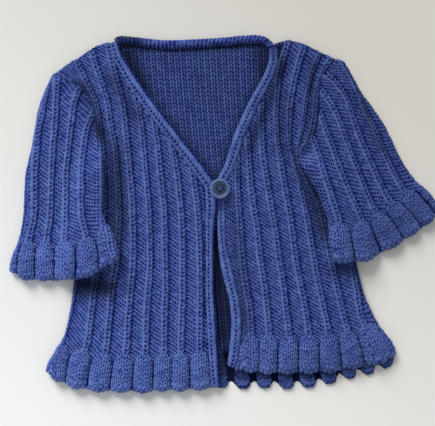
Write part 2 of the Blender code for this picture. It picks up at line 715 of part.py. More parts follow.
def to_sleeve(frame, x, y):
    """Turn a point of the garment into outward and down in the sleeve's own frame."""
    right = frame.outward * (x - frame.x)
    below = frame.y - y
    out = right * math.cos(frame.turn) - below * math.sin(frame.turn)
    down = right * math.sin(frame.turn) + below * math.cos(frame.turn)
    return out, down


def from_sleeve(frame, out, down):
    right = out * math.cos(frame.turn) + down * math.sin(frame.turn)
    below = down * math.cos(frame.turn) - out * math.sin(frame.turn)
    return frame.x + frame.outward * right, frame.y - below


def armhole_line(frame, side, armhole, hem):
    """Follow a panel's armhole through its rows, moved out by the gap, in the sleeve's frame."""
    first = len(LOBE_ROWS)
    heights = [row_height(row, hem, armhole.shoulder) for row in range(first, first + BODY_ROWS)]
    edge = [Vector((side(y), y)) for y in heights]
    while edge[1].y < armhole.underarm:
        edge.pop(0)
    share = (armhole.underarm - edge[0].y) / (edge[1].y - edge[0].y)
    edge[0] = edge[0].lerp(edge[1], share)
    points = []
    for index, point in enumerate(edge):
        before = edge[max(index - 1, 0)]
        after = edge[min(index + 1, len(edge) - 1)]
        along = (after - before).normalized()
        out = Vector((-along.y, along.x)) * (-frame.outward)
        moved = point + out * EDGE_GAP
        points.append(to_sleeve(frame, moved.x, moved.y))
    low = points[0]
    high = points[-1]
    run_in = [(low[0] + out, low[1] + down) for out, down in UNDERARM_RUN]
    run_out = [(high[0] + out, high[1] + down) for out, down in SHOULDER_RUN]
    return run_in + points + run_out


def drape_height(side, armhole, frame, x, y):
    """Lift of a sleeve where it lies on the body's side."""
    over = frame.outward * (side(y) - x)
    rise = smooth_step((over + DRAPE_RAMP) / (DRAPE_RAMP - 1.5))
    fade = smooth_step((armhole.underarm + DRAPE_RAMP - y) / DRAPE_RAMP)
    return SLEEVE_OVER * rise * fade


def make_sleeve(name, frame, sections, cuff, side, armhole, hems):
    place = across_guides(SLEEVE_RIBS_ON_TOP, guides_of(sections, SleeveSection._fields[1:]))
    cuff_of = curve_through(cuff)
    front_seam, back_seam = (
        straight_through(armhole_line(frame, side, armhole, hem)) for hem in hems
    )
    last = sections[-1].down

    def on_top(number):
        return INNER_FOLD <= number <= OUTER_FOLD

    def out_of(number, down):
        """Outward place of a column, on the upper or the lower layer."""
        if number <= OUTER_FOLD:
            return place(number, down)
        share = (number - OUTER_FOLD) / (SLEEVE_REPEATS + INNER_FOLD - OUTER_FOLD)
        outer = place(OUTER_FOLD, down)
        return outer + share * (place(INNER_FOLD, down) - outer)

    def ends_of(number):
        edge = cuff_of(out_of(number, last))
        edge = cuff_of(out_of(number, edge))
        seam_of = front_seam if on_top(number) else back_seam
        inside = lambda down: down > seam_of(out_of(number, down))
        return edge, crossing(inside, edge - LOBE_LENGTH, SLEEVE_REACH)

    ends = {}

    def spot(number, row, inset):
        """Middle line of the wall's section, drawn in from the folds by inset."""
        if number not in ends:
            ends[number] = ends_of(number)
        edge, top = ends[number]
        if row < len(LOBE_ROWS):
            down = edge - LOBE_LENGTH * LOBE_ROWS[row]
        else:
            share = (row - len(LOBE_ROWS) + 1) / SLEEVE_ROWS
            end = top + (EDGE_DRAWN_IN if inset else 0.0)
            down = edge - LOBE_LENGTH + share * (end - edge + LOBE_LENGTH)
        distance = edge - down
        moved = slide_column(number, distance)
        outer = place(OUTER_FOLD, down)
        inner = place(INNER_FOLD, down)
        out = min(max(out_of(moved, down), inner), outer)
        from_fold = min(outer - out, out - inner)
        near = max(0.0, 1.0 - from_fold / FOLD_RADIUS)
        level = math.sqrt(max(0.0, 1.0 - near * near))
        middle = 0.5 * (outer + inner)
        out = middle + (out - middle) * (1.0 - 2.0 * inset / (outer - inner))
        puff = SLEEVE_PUFF * math.sin(math.pi * (out - inner) / (outer - inner)) ** 2
        puff *= smooth_step(1.0 - abs(2.0 * (down - top) / (edge - top) - 1.0) ** 3)
        down -= scallop(moved) * lobe_share(distance)
        sign = 1.0 if out > middle else -1.0
        aside = near * sign * smooth_step((down - top) / FOLD_START)
        return out, down, distance, level, aside, puff

    layer = WALL + FRONT_UNDER
    half = 0.5 * layer

    def outer_point(number, row):
        out, down, distance, level, aside, puff = spot(number, row, 0.0)
        if on_top(number):
            rise = ribbed_height(number, distance, RIB_RISE) - WALL
            z = half + (half + rise + puff) * level
            out += SIDE_RISE * rise * aside
        else:
            z = half - half * level
        x, y = from_sleeve(frame, out, down)
        return x, y, z + drape_height(side, armhole, frame, x, y)

    def inner_point(number, row):
        out, down, distance, level, _, puff = spot(number, row, WALL)
        gap = 0.5 * (FRONT_UNDER - WALL)
        if on_top(number):
            z = half + (gap + puff + hollow_height(number, distance)) * level
        else:
            z = half - gap * level
        x, y = from_sleeve(frame, out, down)
        return x, y, z + drape_height(side, armhole, frame, x, y)

    rows = len(LOBE_ROWS) + SLEEVE_ROWS
    whole = column_plan(INNER_FOLD, SLEEVE_REPEATS + INNER_FOLD)
    outer_columns = whole[:-1]
    coarse = column_plan(INNER_FOLD, SLEEVE_REPEATS + INNER_FOLD, (-0.5, 0.0))
    inner_columns = coarse[:-1]
    return cloth_wall(name, outer_columns, outer_point, inner_columns, inner_point, rows, True)


def make_sleeves():
    left_side = guides_of(LEFT_SIDE, ("x",))[0]
    right_side = guides_of(RIGHT_SIDE, ("x",))[0]
    left_hems = (LEFT_HEM[0].y, BACK_HEM[0].y)
    right_hems = (RIGHT_HEM[-1].y, BACK_HEM[-1].y)
    left = (LEFT_FRAME, LEFT_SLEEVE, LEFT_CUFF, left_side, LEFT_ARMHOLE, left_hems)
    right = (RIGHT_FRAME, RIGHT_SLEEVE, RIGHT_CUFF, right_side, RIGHT_ARMHOLE, right_hems)
    make_sleeve("sleeve_left", *left)
    make_sleeve("sleeve_right", *right)


def make_band(name, points, side_shape):
    """Sweep a band's section along its smooth centre line."""
    tracks, places = band_tracks(points)
    stations = len(places) - 1
    section = [(-side.across, side.up) for side in reversed(side_shape[1:])]
    section += [(side.across, side.up) for side in side_shape]
    vertices = []
    for s in places:
        x, y, width, under, height = (track(s) for track in tracks)
        turn = band_direction(tracks, s, places[-1])
        for across, up in section:
            px = x - math.sin(turn) * across * 0.5 * width
            py = y + math.cos(turn) * across * 0.5 * width
            vertices.append((px, py, under + up * height))
    size = len(section)
    faces = []
    for station in range(stations):
        for k in range(size):
            a = station * size + k
            b = station * size + (k + 1) % size
            faces.append((a, b, b + size, a + size))
    faces.append(tuple(range(size)))
    faces.append(tuple(stations * size + k for k in range(size)))
    return make_object(name, vertices, faces, BLUE, 0.9)


def make_bands():
    make_band("band_left", LEFT_BAND, TWO_STITCHES)
    make_band("band_right", RIGHT_BAND, TWO_STITCHES)
    make_band("band_neck", NECK_BAND, ROLL)


def make_button():
    """Turn the button from its profile and cut its four sewing holes."""
    profile = (
        (0.0, BUTTON_THICK - BUTTON_DISH),
        (BUTTON_DISH_RADIUS - 1.0, BUTTON_THICK - BUTTON_DISH),
        (BUTTON_DISH_RADIUS, BUTTON_THICK - 0.3 * BUTTON_DISH),
        (BUTTON_RADIUS - 1.6, BUTTON_THICK),
        (BUTTON_RADIUS - 0.4, BUTTON_THICK - 0.5),
        (BUTTON_RADIUS, BUTTON_THICK - 1.2),
        (BUTTON_RADIUS - 0.4, 0.9),
        (BUTTON_RADIUS - 2.6, 0.0),
        (0.0, 0.0),
    )
    mesh = bpy.data.meshes.new("button")
    points = [(radius * MM, 0.0, z * MM) for radius, z in profile]
    mesh.from_pydata(points, [(k, k + 1) for k in range(len(points) - 1)], [])
    button = finish_object("button", mesh, BUTTON_BLUE, 0.35)
    turned = button.modifiers.new("turned", "SCREW")
    turned.axis = "Z"
    turned.steps = BUTTON_SIDES
    turned.render_steps = BUTTON_SIDES
    turned.use_merge_vertices = True
    turned.merge_threshold = 0.00001
    button.location = ((BUTTON_X - CENTRE.x) * MM, (BUTTON_Y - CENTRE.y) * MM, BUTTON_UNDER * MM)
    for number in range(4):
        turn = 0.5 * math.pi * number + BUTTON_HOLE_TURN
        bpy.ops.mesh.primitive_cylinder_add(
            vertices=14,
            radius=BUTTON_HOLE * MM,
            depth=4.0 * BUTTON_THICK * MM,
            location=(
                button.location.x + BUTTON_HOLE_SPREAD * MM * math.cos(turn),
                button.location.y + BUTTON_HOLE_SPREAD * MM * math.sin(turn),
                button.location.z,
            ),
        )
        cutter = bpy.context.object
        cutter.name = f"button_hole_{number}"
        cutter.hide_render = True
        cutter.display_type = "WIRE"
        for owner in list(cutter.users_collection):
            owner.objects.unlink(cutter)
        cutters.objects.link(cutter)
        cut = button.modifiers.new(f"hole_{number}", "BOOLEAN")
        cut.operation = "DIFFERENCE"
        cut.object = cutter
    return button


clear_scene()
collection = bpy.data.collections.new("cardigan")
bpy.context.scene.collection.children.link(collection)
cutters = bpy.data.collections.new("cutters")
bpy.context.scene.collection.children.link(cutters)
make_back()
make_fronts()
make_sleeves()
make_bands()
make_button()
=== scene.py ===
import math

import bmesh
import bpy
import numpy as np
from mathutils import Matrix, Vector


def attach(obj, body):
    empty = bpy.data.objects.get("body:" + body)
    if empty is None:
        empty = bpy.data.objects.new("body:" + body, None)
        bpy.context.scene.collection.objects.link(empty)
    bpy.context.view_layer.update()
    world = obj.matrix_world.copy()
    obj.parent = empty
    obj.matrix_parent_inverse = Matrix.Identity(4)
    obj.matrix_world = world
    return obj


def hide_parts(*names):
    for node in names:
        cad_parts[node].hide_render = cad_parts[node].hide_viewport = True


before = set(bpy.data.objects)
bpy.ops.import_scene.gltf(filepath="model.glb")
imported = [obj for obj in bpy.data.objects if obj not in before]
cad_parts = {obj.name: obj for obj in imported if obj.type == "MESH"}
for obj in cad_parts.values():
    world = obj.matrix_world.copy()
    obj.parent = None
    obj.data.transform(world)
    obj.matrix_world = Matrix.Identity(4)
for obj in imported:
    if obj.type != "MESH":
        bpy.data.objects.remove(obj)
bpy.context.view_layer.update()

print("frame loaded")

# Tables and sizes are in millimetres as laid on the table. X runs to the viewer's right and
# Y to the neck. A mesh is made in metres, with the outline's middle at the origin.
toMetres = 0.001
tableCentre = np.array((0.8, -0.4, 0.0))

# What every knitted piece shares
knit = {
    "course": 3.6,              # height of one row of stitches
    "repeat": 15.3,             # usual width of a rib with its purl; legs keep their width in a wider one
    "legs": 0.44, "lead": 0.06, "purlStart": 0.486, "purlWidth": 2.03,
    "purlLean": 0.38, "purlPhase": 0.25,        # rows by which the next purl column is lower
    "wall": 2.2,                # purl ground
    "ribRise": 1.4,             # knit rib above it
    "backTop": 2.9,
    "frontUnder": 3.2,
    "sleeveOver": 7.3,          # a sleeve lying on the body starts at this height
    "edgeGap": 0.8,             # between two sewn edges
    "shadeTurn": 1.5,           # from lightness as seen to light given back
    "edgeRound": 1.1,           # radius of a piece's rounded edge
    "edgeFull": 2.4,            # cloth this many radii thick turns down in full at its edge
    "edgeLeast": 0.3,           # and the thinnest by this share
    "edgeLight": 0.6,           # how light the stitches are where they turn under
    "sewnOver": 0.5,            # sewn edges are drawn together by this much
    "sewnSoft": 0.5,            # and turn down by this share of a free edge
    "tuckedUnder": 6.0,         # how far an edge goes on underneath
    "lowest": 0.1,              # nothing lies lower over the table
    "samplesAcross": 24,        # points across one repeat
    "samplesUnder": 8,          # the same where the cloth hardly shows
    "samplesUp": 5,             # points up one row of stitches
}
rowStep = knit["course"] / knit["samplesUp"]

# The flared ruffle at hem and cuffs: one hollow lobe for each rib
ruffle = {
    "length": 34.0, "arch": 13.0, "notch": 14.0, "swell": 16.0, "crest": 5.2, "valley": 0.8, "scallop": 1.8,
    "narrow": 0.17, "wide": 0.485,       # half of a lobe's width, as a share of the repeat
    "shift": 0.07,              # its middle lies this far to the right of the rib's left leg
    "stitches": 2.0, "depth": 1.25, "knotted": 6.5, "knob": 0.9, "knobs": 4.6, "knot": 3.0, "uneven": 1.6,
    "stitchLight": (0.06, 1.04),        # of a gap, and what a stitch's top adds
    "betweenLight": 0.12,
}


# Curves and guides

def smoothStep(value):
    value = np.clip(value, 0.0, 1.0)
    return value * value * (3.0 - 2.0 * value)


def blend(share, first, second):
    return (1.0 - share) * first + share * second


def curveThrough(points):
    places = np.array([point[0] for point in points], float)
    values = np.array([point[1] for point in points], float)
    gaps = np.diff(places)
    slopes = np.diff(values) / gaps
    product = slopes[:-1] * slopes[1:]
    total = slopes[:-1] + slopes[1:]
    middle = np.where(product > 0.0, 2.0 * product / np.where(product > 0.0, total, 1.0), 0.0)
    tangents = np.concatenate(([slopes[0]], middle, [slopes[-1]]))

    def valueAt(place):
        place = np.clip(place, places[0], places[-1])
        index = np.clip(np.searchsorted(places, place, side="left") - 1, 0, len(gaps) - 1)
        gap = gaps[index]
        t = (place - places[index]) / gap
        ends = (1 + 2 * t) * (1 - t) ** 2 * values[index] + t * t * (3 - 2 * t) * values[index + 1]
        leans = t * (1 - t) ** 2 * tangents[index] + t * t * (t - 1) * tangents[index + 1]
        return ends + gap * leans

    return valueAt


def straightThrough(points):
    places = [point[0] for point in points]
    values = [point[1] for point in points]
    return lambda place: np.interp(place, places, values)


def acrossGuides(numbers, guides):
    numbers = np.array(numbers, float)

    def placeOf(column, height):
        column, height = np.broadcast_arrays(column, height)
        lines = np.array([guide(height) for guide in guides])
        index = np.clip(np.searchsorted(numbers, column, side="left") - 1, 0, len(numbers) - 2)
        share = (column - numbers[index]) / (numbers[index + 1] - numbers[index])
        low = np.take_along_axis(lines, index[None], 0)[0]
        high = np.take_along_axis(lines, index[None] + 1, 0)[0]
        return low + share * (high - low)

    return placeOf


def firstCrossing(inside, start, end, steps=60):
    # Where each column's walk from start first leaves the cloth
    shares = np.arange(steps + 1)[:, None] / steps
    outside = ~inside(start + (end - start) * shares)
    outside[0] = False
    first = np.where(outside.any(0), outside.argmax(0), steps)
    low = start + (end - start) * (first - 1) / steps
    high = start + (end - start) * first / steps
    for _ in range(24):
        middle = 0.5 * (low + high)
        isIn = inside(middle[None])[0]
        low = np.where(isIn, middle, low)
        high = np.where(isIn, high, middle)
    return np.where(outside.any(0), low, end)


def guidesOf(sections):
    heights = [row[0] for row in sections]
    return [curveThrough(list(zip(heights, line))) for line in list(zip(*sections))[1:]]


# Hand-made unevenness

def speckle(a, b, seed):
    # An even spread from 0 to 1, different for each stitch
    value = np.sin(a * 12.9898 + b * 78.233 + seed * 37.719) * 437.585453
    return value - np.floor(value)


def waver(x, y, seed):
    # Slow wander between -1 and 1 over a few centimetres
    first = np.sin(x / 17.0 + 1.7 * seed + 1.3 * np.sin(y / 29.0 + seed))
    second = np.sin(y / 21.0 - 2.3 * seed + 1.1 * np.sin(x / 23.0 - seed))
    third = np.sin((x + y) / 9.5 + 4.1 * seed) * 0.4
    return (first + second + third) / 2.4


def mixed(a, b, seed):
    # Smooth unevenness between -1 and 1, with a new value at each whole a and b
    i, j = np.floor(a), np.floor(b)
    u, v = smoothStep(a - i), smoothStep(b - j)
    low = blend(u, speckle(i, j, seed), speckle(i + 1.0, j, seed))
    high = blend(u, speckle(i, j + 1.0, seed), speckle(i + 1.0, j + 1.0, seed))
    return 2.0 * blend(v, low, high) - 1.0


def alongLine(x, y, x1, y1, x2, y2):
    # Share of the way from one end to the other, and millimetres to the side
    length = math.hypot(x2 - x1, y2 - y1)
    along = ((x - x1) * (x2 - x1) + (y - y1) * (y2 - y1)) / length ** 2
    return along, ((x - x1) * (y2 - y1) - (y - y1) * (x2 - x1)) / length


def foldRise(x, y):
    rise = np.zeros_like(x)
    for *ends, width, height in folds:
        along, aside = alongLine(x, y, *ends)
        rise += height * np.sin(math.pi * np.clip(along, 0.0, 1.0)) * np.exp(-(2.0 * aside / width) ** 2)
    return rise


def shadeOf(paintedShades, x, y):
    # Painted shade: the colour darkens along each line of the table
    light = np.ones_like(x)
    for *ends, width, depth in paintedShades:
        along, aside = alongLine(x, y, *ends)
        full = smoothStep(4.0 * np.minimum(along, 1.0 - along))
        light = light * (1.0 - depth * full * np.exp(-(2.0 * aside / width) ** 2))
    return light


# Stitches. Offsets are shares of one repeat, counted from the bright left leg of its knit rib.
# Relief is in millimetres. Light is painted light and shade of the stitches, from 0 in a gap to 1.

def wrapped(value):
    return value - np.floor(value + 0.5)


def rounded(value):
    return np.sqrt(np.clip(1.0 - value * value, 0.0, 1.0))


def beads(phase):
    return rounded(2.0 * (phase - np.floor(phase)) - 1.0)


def strand(place, half, course, lean, evenness):
    # One leg of a wale: 1 on its ridge, parted into stitches as far as evenness allows
    across = place / half
    return rounded(across) * (evenness + (1.0 - evenness) * beads(course - lean * across))


def dots(place, half, course, shift, length):
    return np.exp(-(place / half) ** 2) * np.exp(-(wrapped(course - shift) / length) ** 2)


def gauged(number, gauge):
    # Where a repeat is wide its knit legs keep their width and the purl takes more columns.
    # gauge is the repeat's width in millimetres. Returns the number so counted and the purl column.
    offset = number - np.floor(number)
    wide = np.maximum(gauge / knit["repeat"], 1.0)
    legs, lead = knit["legs"], knit["lead"]
    purl = legs + (offset - legs / wide) / (1.0 - (legs + lead) / wide) * (1.0 - legs - lead)
    counted = np.where((1.0 - offset) * wide < lead, 1.0 - (1.0 - offset) * wide, purl)
    counted = np.where(offset * wide < legs, offset * wide, counted)
    column = np.where(number < 0.0, offset - 1.0, offset - knit["purlStart"] / wide)
    column = column * gauge / knit["purlWidth"]
    return np.floor(number) + counted, column


# One repeat. A leg has its middle and half width as shares of the repeat, its lean in rows, how
# even it is and its height. A hole has its middle, half width, place and length in rows, and depth.
outsideLegs = ((0.0, 0.1, -0.5, 0.5, 1.0), (0.235, 0.105, 0.6, 0.15, 0.95))
outsideHoles = ((0.122, 0.052, 0.4, 0.3, 0.8),)
insideLegs = ((0.0, 0.17, -0.35, 0.7, 0.95), (0.46, 0.22, 0.7, 0.0, 0.9))
insideHoles = ((0.22, 0.09, 0.45, 0.27, 0.7), (0.74, 0.09, 0.0, 0.27, 0.7))
purlShape = {
    "height": 1.1, "pit": 0.9, "pitWidth": 0.36, "pitLength": 0.3,      # in columns and rows
    "from": 0.38, "over": 0.06, "to": 0.95, "endOver": 0.04,            # in shares of the repeat
}
ribRise = (                     # place, and how high the cloth rises there
    (0.0, 0.95), (0.1, 1.0), (0.28, 0.85), (0.37, 0.3), (0.44, 0.15), (0.6, 0.2), (0.75, 0.36),
    (0.88, 0.6), (0.94, 0.78), (1.0, 0.95),
)


def knitStitches(offset, course, legs, holes):
    relief = 0.0 * offset
    for middle, half, lean, evenness, height in legs:
        relief = relief + height * strand(wrapped(offset - middle), half, course, lean, evenness)
    for middle, half, shift, length, depth in holes:
        relief = relief - depth * dots(wrapped(offset - middle), half, course, shift, length)
    return relief


def ribStitches(number, course, column):
    # Right side: one knit rib and its purl columns. Returns the rib's own rise and the relief.
    offset = number - np.floor(number)
    purl = purlShape
    slope = course + knit["purlPhase"] + knit["purlLean"] * column
    pits = np.exp(-(wrapped(column) / purl["pitWidth"]) ** 2 - (wrapped(slope) / purl["pitLength"]) ** 2)
    mask = smoothStep((offset - purl["from"]) / purl["over"])
    mask = mask * smoothStep((purl["to"] - offset) / purl["endOver"])
    relief = knitStitches(offset, course, outsideLegs, outsideHoles)
    relief = relief + purl["height"] * mask * (1.0 - purl["pit"] * pits)
    return straightThrough(ribRise)(offset), relief


def stockinette(wale, course, depth):
    # Columns of V stitches, one to each whole wale number, with their relief and painted light: bright on the
    # legs, dark between them
    across = wrapped(wale)
    leg = rounded((np.abs(across) - 0.25) / 0.25)
    leg = leg * (0.05 + 0.95 * beads(course - 1.5 * np.abs(across)))
    return depth * leg, np.clip(1.15 * leg ** 1.3, 0.0, 1.0)


# Meshes

# What each point of a knitted mesh carries for its yarn: painted light of its stitches, place across and
# along the stitches, how far the stitch table of the yarn counts there, the purl column, and painted
# shade: how far the cloth as a whole lies in the light
toneNames = ("light", "number", "course", "ribbed", "column", "shade")


def normalsOf(points):
    across = np.gradient(points, axis=1)
    up = np.gradient(points, axis=0)
    normal = np.cross(across, up)
    length = np.linalg.norm(normal, axis=2, keepdims=True)
    return np.where(length < 1e-9, (0.0, 0.0, 1.0), normal / np.maximum(length, 1e-9))


def pieceOf(name, work, material):
    mesh = bpy.data.meshes.new(name)
    work.to_mesh(mesh)
    work.free()
    mesh.materials.append(material)
    piece = bpy.data.objects.new(name, mesh)
    bpy.context.scene.collection.objects.link(piece)
    return piece


def knitMesh(name, points, tones, material, fineRows, turned):
    # Lay points, given row by row in millimetres, as one smooth knitted surface.
    # Rows above fineRows keep every second column.
    values = np.concatenate(((points - tableCentre) * toMetres, np.moveaxis(tones, 0, 2)), axis=2)
    grids = [values]
    if fineRows:
        lower = values[:fineRows].copy()
        lower[-1, 1::2] = 0.5 * (lower[-1, :-1:2] + lower[-1, 2::2])
        grids = [lower, values[fineRows - 1:, ::2]]
    work = bmesh.new()
    layers = [work.verts.layers.float.new(key) for key in toneNames]
    for grid in grids:
        rows, columns, wide = grid.shape
        made = bmesh.ops.create_grid(work, x_segments=columns - 1, y_segments=rows - 1, size=1.0)
        for vert, line in zip(made["verts"], grid.reshape(-1, wide).tolist()):
            vert.co = line[:3]
            for layer, value in zip(layers, line[3:]):
                vert[layer] = value
    bmesh.ops.remove_doubles(work, verts=work.verts, dist=0.0000005)
    if turned:
        bmesh.ops.reverse_faces(work, faces=work.faces)
    for face in work.faces:
        face.smooth = True
    return pieceOf(name, work, material)


def knitPiece(node, points, tones, material, fineRows=0, turned=False):
    # A sheet of the cut in its table, which stands for the CAD node of that name
    made = knitMesh(f"{node}_knit", points, tones, material, fineRows, turned)
    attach(made, "root")
    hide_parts(node)


def evenNumbers(first, last, samples):
    return np.linspace(first, last, 2 * round((last - first) * samples / 2) + 1)


def edgeTurns():
    # Angles round a rounded edge, and how far the cloth goes on underneath after them
    return [(math.pi, knit["tuckedUnder"])] + [(math.pi * (1 - k / 6), 0.0) for k in range(6)]


ruffleRows = len(edgeTurns()) + round((ruffle["length"] + 3.0) / rowStep)       # these are kept fine

def turnedShare(turn, run):
    return 0.0 if run else 0.5 + 0.5 * math.cos(0.5 * turn)


def turnedDrop(drop, height):
    return drop * np.clip(height / (knit["edgeFull"] * knit["edgeRound"]), knit["edgeLeast"], 1.0)


def clothRows(farEnd, rows):
    # Distances from the edge, row by row: turned edge, cloth up to each column's far end and
    # turned end. Also the distance whose height each row takes, its drop and its relief's share.
    radius = knit["edgeRound"]
    distances, levels, drops, shares = [], [], [], []
    for turn, run in edgeTurns():
        distances.append(radius * (1.0 - math.sin(turn)) + run + 0.0 * farEnd)
        levels.append(radius + 0.0 * farEnd)
        drops.append(radius * (1.0 - math.cos(turn)))
        shares.append(turnedShare(turn, run))
    for row in rows:
        distances.append(np.minimum(row + radius, farEnd - radius))
        levels.append(distances[-1])
        drops.append(0.0)
        shares.append(1.0)
    for turn, run in edgeTurns()[::-1]:
        distances.append(farEnd - radius * (1.0 - math.sin(turn)) - run)
        levels.append(farEnd - radius)
        drops.append(knit["sewnSoft"] * radius * (1.0 - math.cos(turn)))
        shares.append(1.0 - knit["sewnSoft"] * (1.0 - turnedShare(turn, run)))
    return np.array(distances), np.array(levels), np.array(drops)[:, None], np.array(shares)[:, None]


def layCloth(points, relief, share, tones, paintedShades):
    # Paint shade onto the cloth from its table, dim its turned edges with painted shade and raise its
    # stitches along its normals
    tones[0] = tones[0] * (knit["edgeLight"] + (1.0 - knit["edgeLight"]) * share)
    tones[5] = (tones[5] * shadeOf(paintedShades, points[..., 0], points[..., 1])) ** knit["shadeTurn"]
    points = points + normalsOf(points) * relief[..., None]
    points[..., 2] = np.maximum(points[..., 2], knit["lowest"])
    return points


# Yarn

def colour(text):
    values = [int(text[k:k + 2], 16) / 255.0 for k in (0, 2, 4)]
    linear = [v / 12.92 if v <= 0.04045 else ((v + 0.055) / 1.055) ** 2.4 for v in values]
    return (*linear, 1.0)


def addNode(tree, kind, inputs=(), output=0, **settings):
    # Gives back one output. An input is a value, or another node's output that is linked to it.
    node = tree.nodes.new("ShaderNode" + kind)
    for key, value in settings.items():
        setattr(node, key, value)
    for key, value in inputs.items() if isinstance(inputs, dict) else enumerate(inputs):
        if isinstance(value, bpy.types.NodeSocket):
            tree.links.new(value, node.inputs[key])
        else:
            node.inputs[key].default_value = value
    return node.outputs[output] if node.outputs else node


def makeMaterial(name, look, *values):
    material = bpy.data.materials.new(name)
    material.use_nodes = True
    tree = material.node_tree
    tree.nodes.clear()
    surface = addNode(tree, "BsdfPrincipled", look(tree, *values))
    addNode(tree, "OutputMaterial", {"Surface": surface})
    return material


yarn = {
    # deep, gap and turned are painted shade: darker copies of the lit yarn colour. heather is its paler
    # fibres.
    "deep": "040A26", "gap": "001258", "turned": "27398A", "lit": "5E74B4", "heather": "7A8FC6",
    "deepTo": 0.14, "gapTo": 0.5, "turnedFrom": 0.35, "turnedTo": 0.95,      # light at which these pass
    "roughness": 0.9, "sheen": 0.03, "gloss": 0.1,
    "fibre": 0.45,              # millimetres between fibres, coarse enough to show
    "hairShare": 0.3, "hairDepth": 0.3,         # of the paler colour, and in millimetres
    "mottle": 7.0,              # millimetres between paler and darker patches
    "mottleRange": (0.92, 1.08),
    "gapStart": 0.06, "gapEnd": 0.34,           # from a gap's middle to its end, in rows
    "unevenGap": 2.4,           # millimetres between deeper and shallower gaps
    "unevenRange": (0.35, 1.4),
    "dotLength": 0.46, "dotWidth": 0.39, "dotDepth": 1.6, "betweenColumns": 0.66,
    "alongRange": (-1.3, 0.7),
    # Painted light: the yarn is lighter towards the window and darker away from it
    "near": 1.12, "far": 0.65,  # how light it looks towards the window and away from it
    "nearPlace": (-0.18, -0.11), "farPlace": (0.15, 0.1),       # in metres
}


# How the painted light runs across one repeat: place, plain tone, how dark its gaps are with
# painted shade, and how far along the wale these lie, in rows of stitches
ribTones = (
    (0.0, 1.0, 0.1, -0.4), (0.06, 0.95, 0.15, -0.4), (0.085, 0.8, 0.5, -0.4),
    (0.122, 0.7, 1.1, -0.4), (0.155, 0.75, 0.6, -0.3), (0.19, 0.9, 0.75, -0.3),
    (0.235, 1.0, 0.85, -0.56), (0.285, 0.95, 0.9, -0.85), (0.325, 0.7, 0.8, -1.05),
    (0.345, 0.55, 0.8, -1.16), (0.385, 0.45, 0.9, -1.04), (0.43, 0.6, 0.7, -0.91),
    (0.455, 0.8, 0.0, 0.0), (0.6, 0.88, 0.0, 0.0), (0.75, 0.95, 0.0, 0.0), (0.93, 0.98, 0.0, 0.0),
    (0.955, 0.98, 0.1, 0.6), (1.0, 1.0, 0.1, 0.6),
)
purlRange = (0.455, 0.93)
insideTones = (
    (0.0, 1.0, 0.1, 0.0), (0.08, 0.92, 0.2, -0.45), (0.17, 0.6, 0.9, -0.45),
    (0.26, 0.62, 0.5, -0.45), (0.46, 0.82, 0.3, -0.2), (0.6, 0.72, 0.3, -0.35),
    (0.74, 0.55, 0.9, 0.0), (0.86, 0.66, 0.5, 0.0), (0.93, 0.92, 0.2, 0.0), (1.0, 1.0, 0.1, 0.0),
)
leftBandTones = (
    (0.0, 0.45, 0.1, -1.3), (0.05, 0.8, 0.2, -1.2), (0.18, 1.0, 0.35, -0.7),
    (0.3, 0.9, 0.45, -0.25), (0.345, 0.7, 0.9, -0.05), (0.38, 0.5, 1.3, 0.0),
    (0.415, 0.7, 0.9, -0.05), (0.46, 0.9, 0.45, -0.25), (0.58, 1.0, 0.35, -0.75),
    (0.7, 0.85, 0.3, -1.2), (0.765, 0.35, 0.6, -1.25), (0.81, 0.3, 0.8, -1.1),
    (0.88, 0.7, 0.5, -0.9), (1.0, 0.6, 0.4, -0.6),
)
rightBandTones = (
    (0.0, 0.45, 0.1, -1.3), (0.07, 0.8, 0.2, -1.25), (0.24, 1.0, 0.35, -0.8),
    (0.42, 0.9, 0.45, -0.3), (0.465, 0.7, 0.9, -0.05), (0.5, 0.5, 1.3, 0.0),
    (0.535, 0.7, 0.9, -0.05), (0.58, 0.9, 0.45, -0.3), (0.76, 1.0, 0.35, -0.8),
    (0.93, 0.8, 0.2, -1.25), (1.0, 0.45, 0.1, -1.3),
)
rollTones = (
    (0.0, 0.4, 0.4, 0.0), (0.2, 0.75, 0.45, 0.0), (0.8, 0.85, 0.45, 0.0), (1.0, 0.5, 0.4, 0.0),
)


def purlTone(tree, read, uneven):
    # Purl side of the cloth: a dot of painted shade in each column at each row, bright loops between them
    across = addNode(tree, "Math", (read["column"], 0.5), operation="PINGPONG")
    lean = (read["column"], knit["purlLean"], knit["purlPhase"])
    lower = addNode(tree, "Math", lean, operation="MULTIPLY_ADD")
    phase = addNode(tree, "Math", (read["course"], lower), operation="ADD")
    fromDot = addNode(tree, "Math", (phase, 0.5), operation="PINGPONG")
    length = (fromDot, 0.08, yarn["dotLength"], 1.0, 0.0)
    dot = addNode(tree, "MapRange", length, interpolation_type="SMOOTHSTEP")
    narrow = addNode(tree, "MapRange", (across, 0.1, yarn["dotWidth"], yarn["dotDepth"], 0.0))
    between = addNode(tree, "MapRange", (across, 0.2, 0.5, 1.0, yarn["betweenColumns"]))
    deeper = addNode(tree, "Math", (narrow, uneven), operation="MULTIPLY")
    dark = addNode(tree, "Math", (dot, deeper), operation="MULTIPLY")
    return addNode(tree, "Math", (between, dark), operation="SUBTRACT")


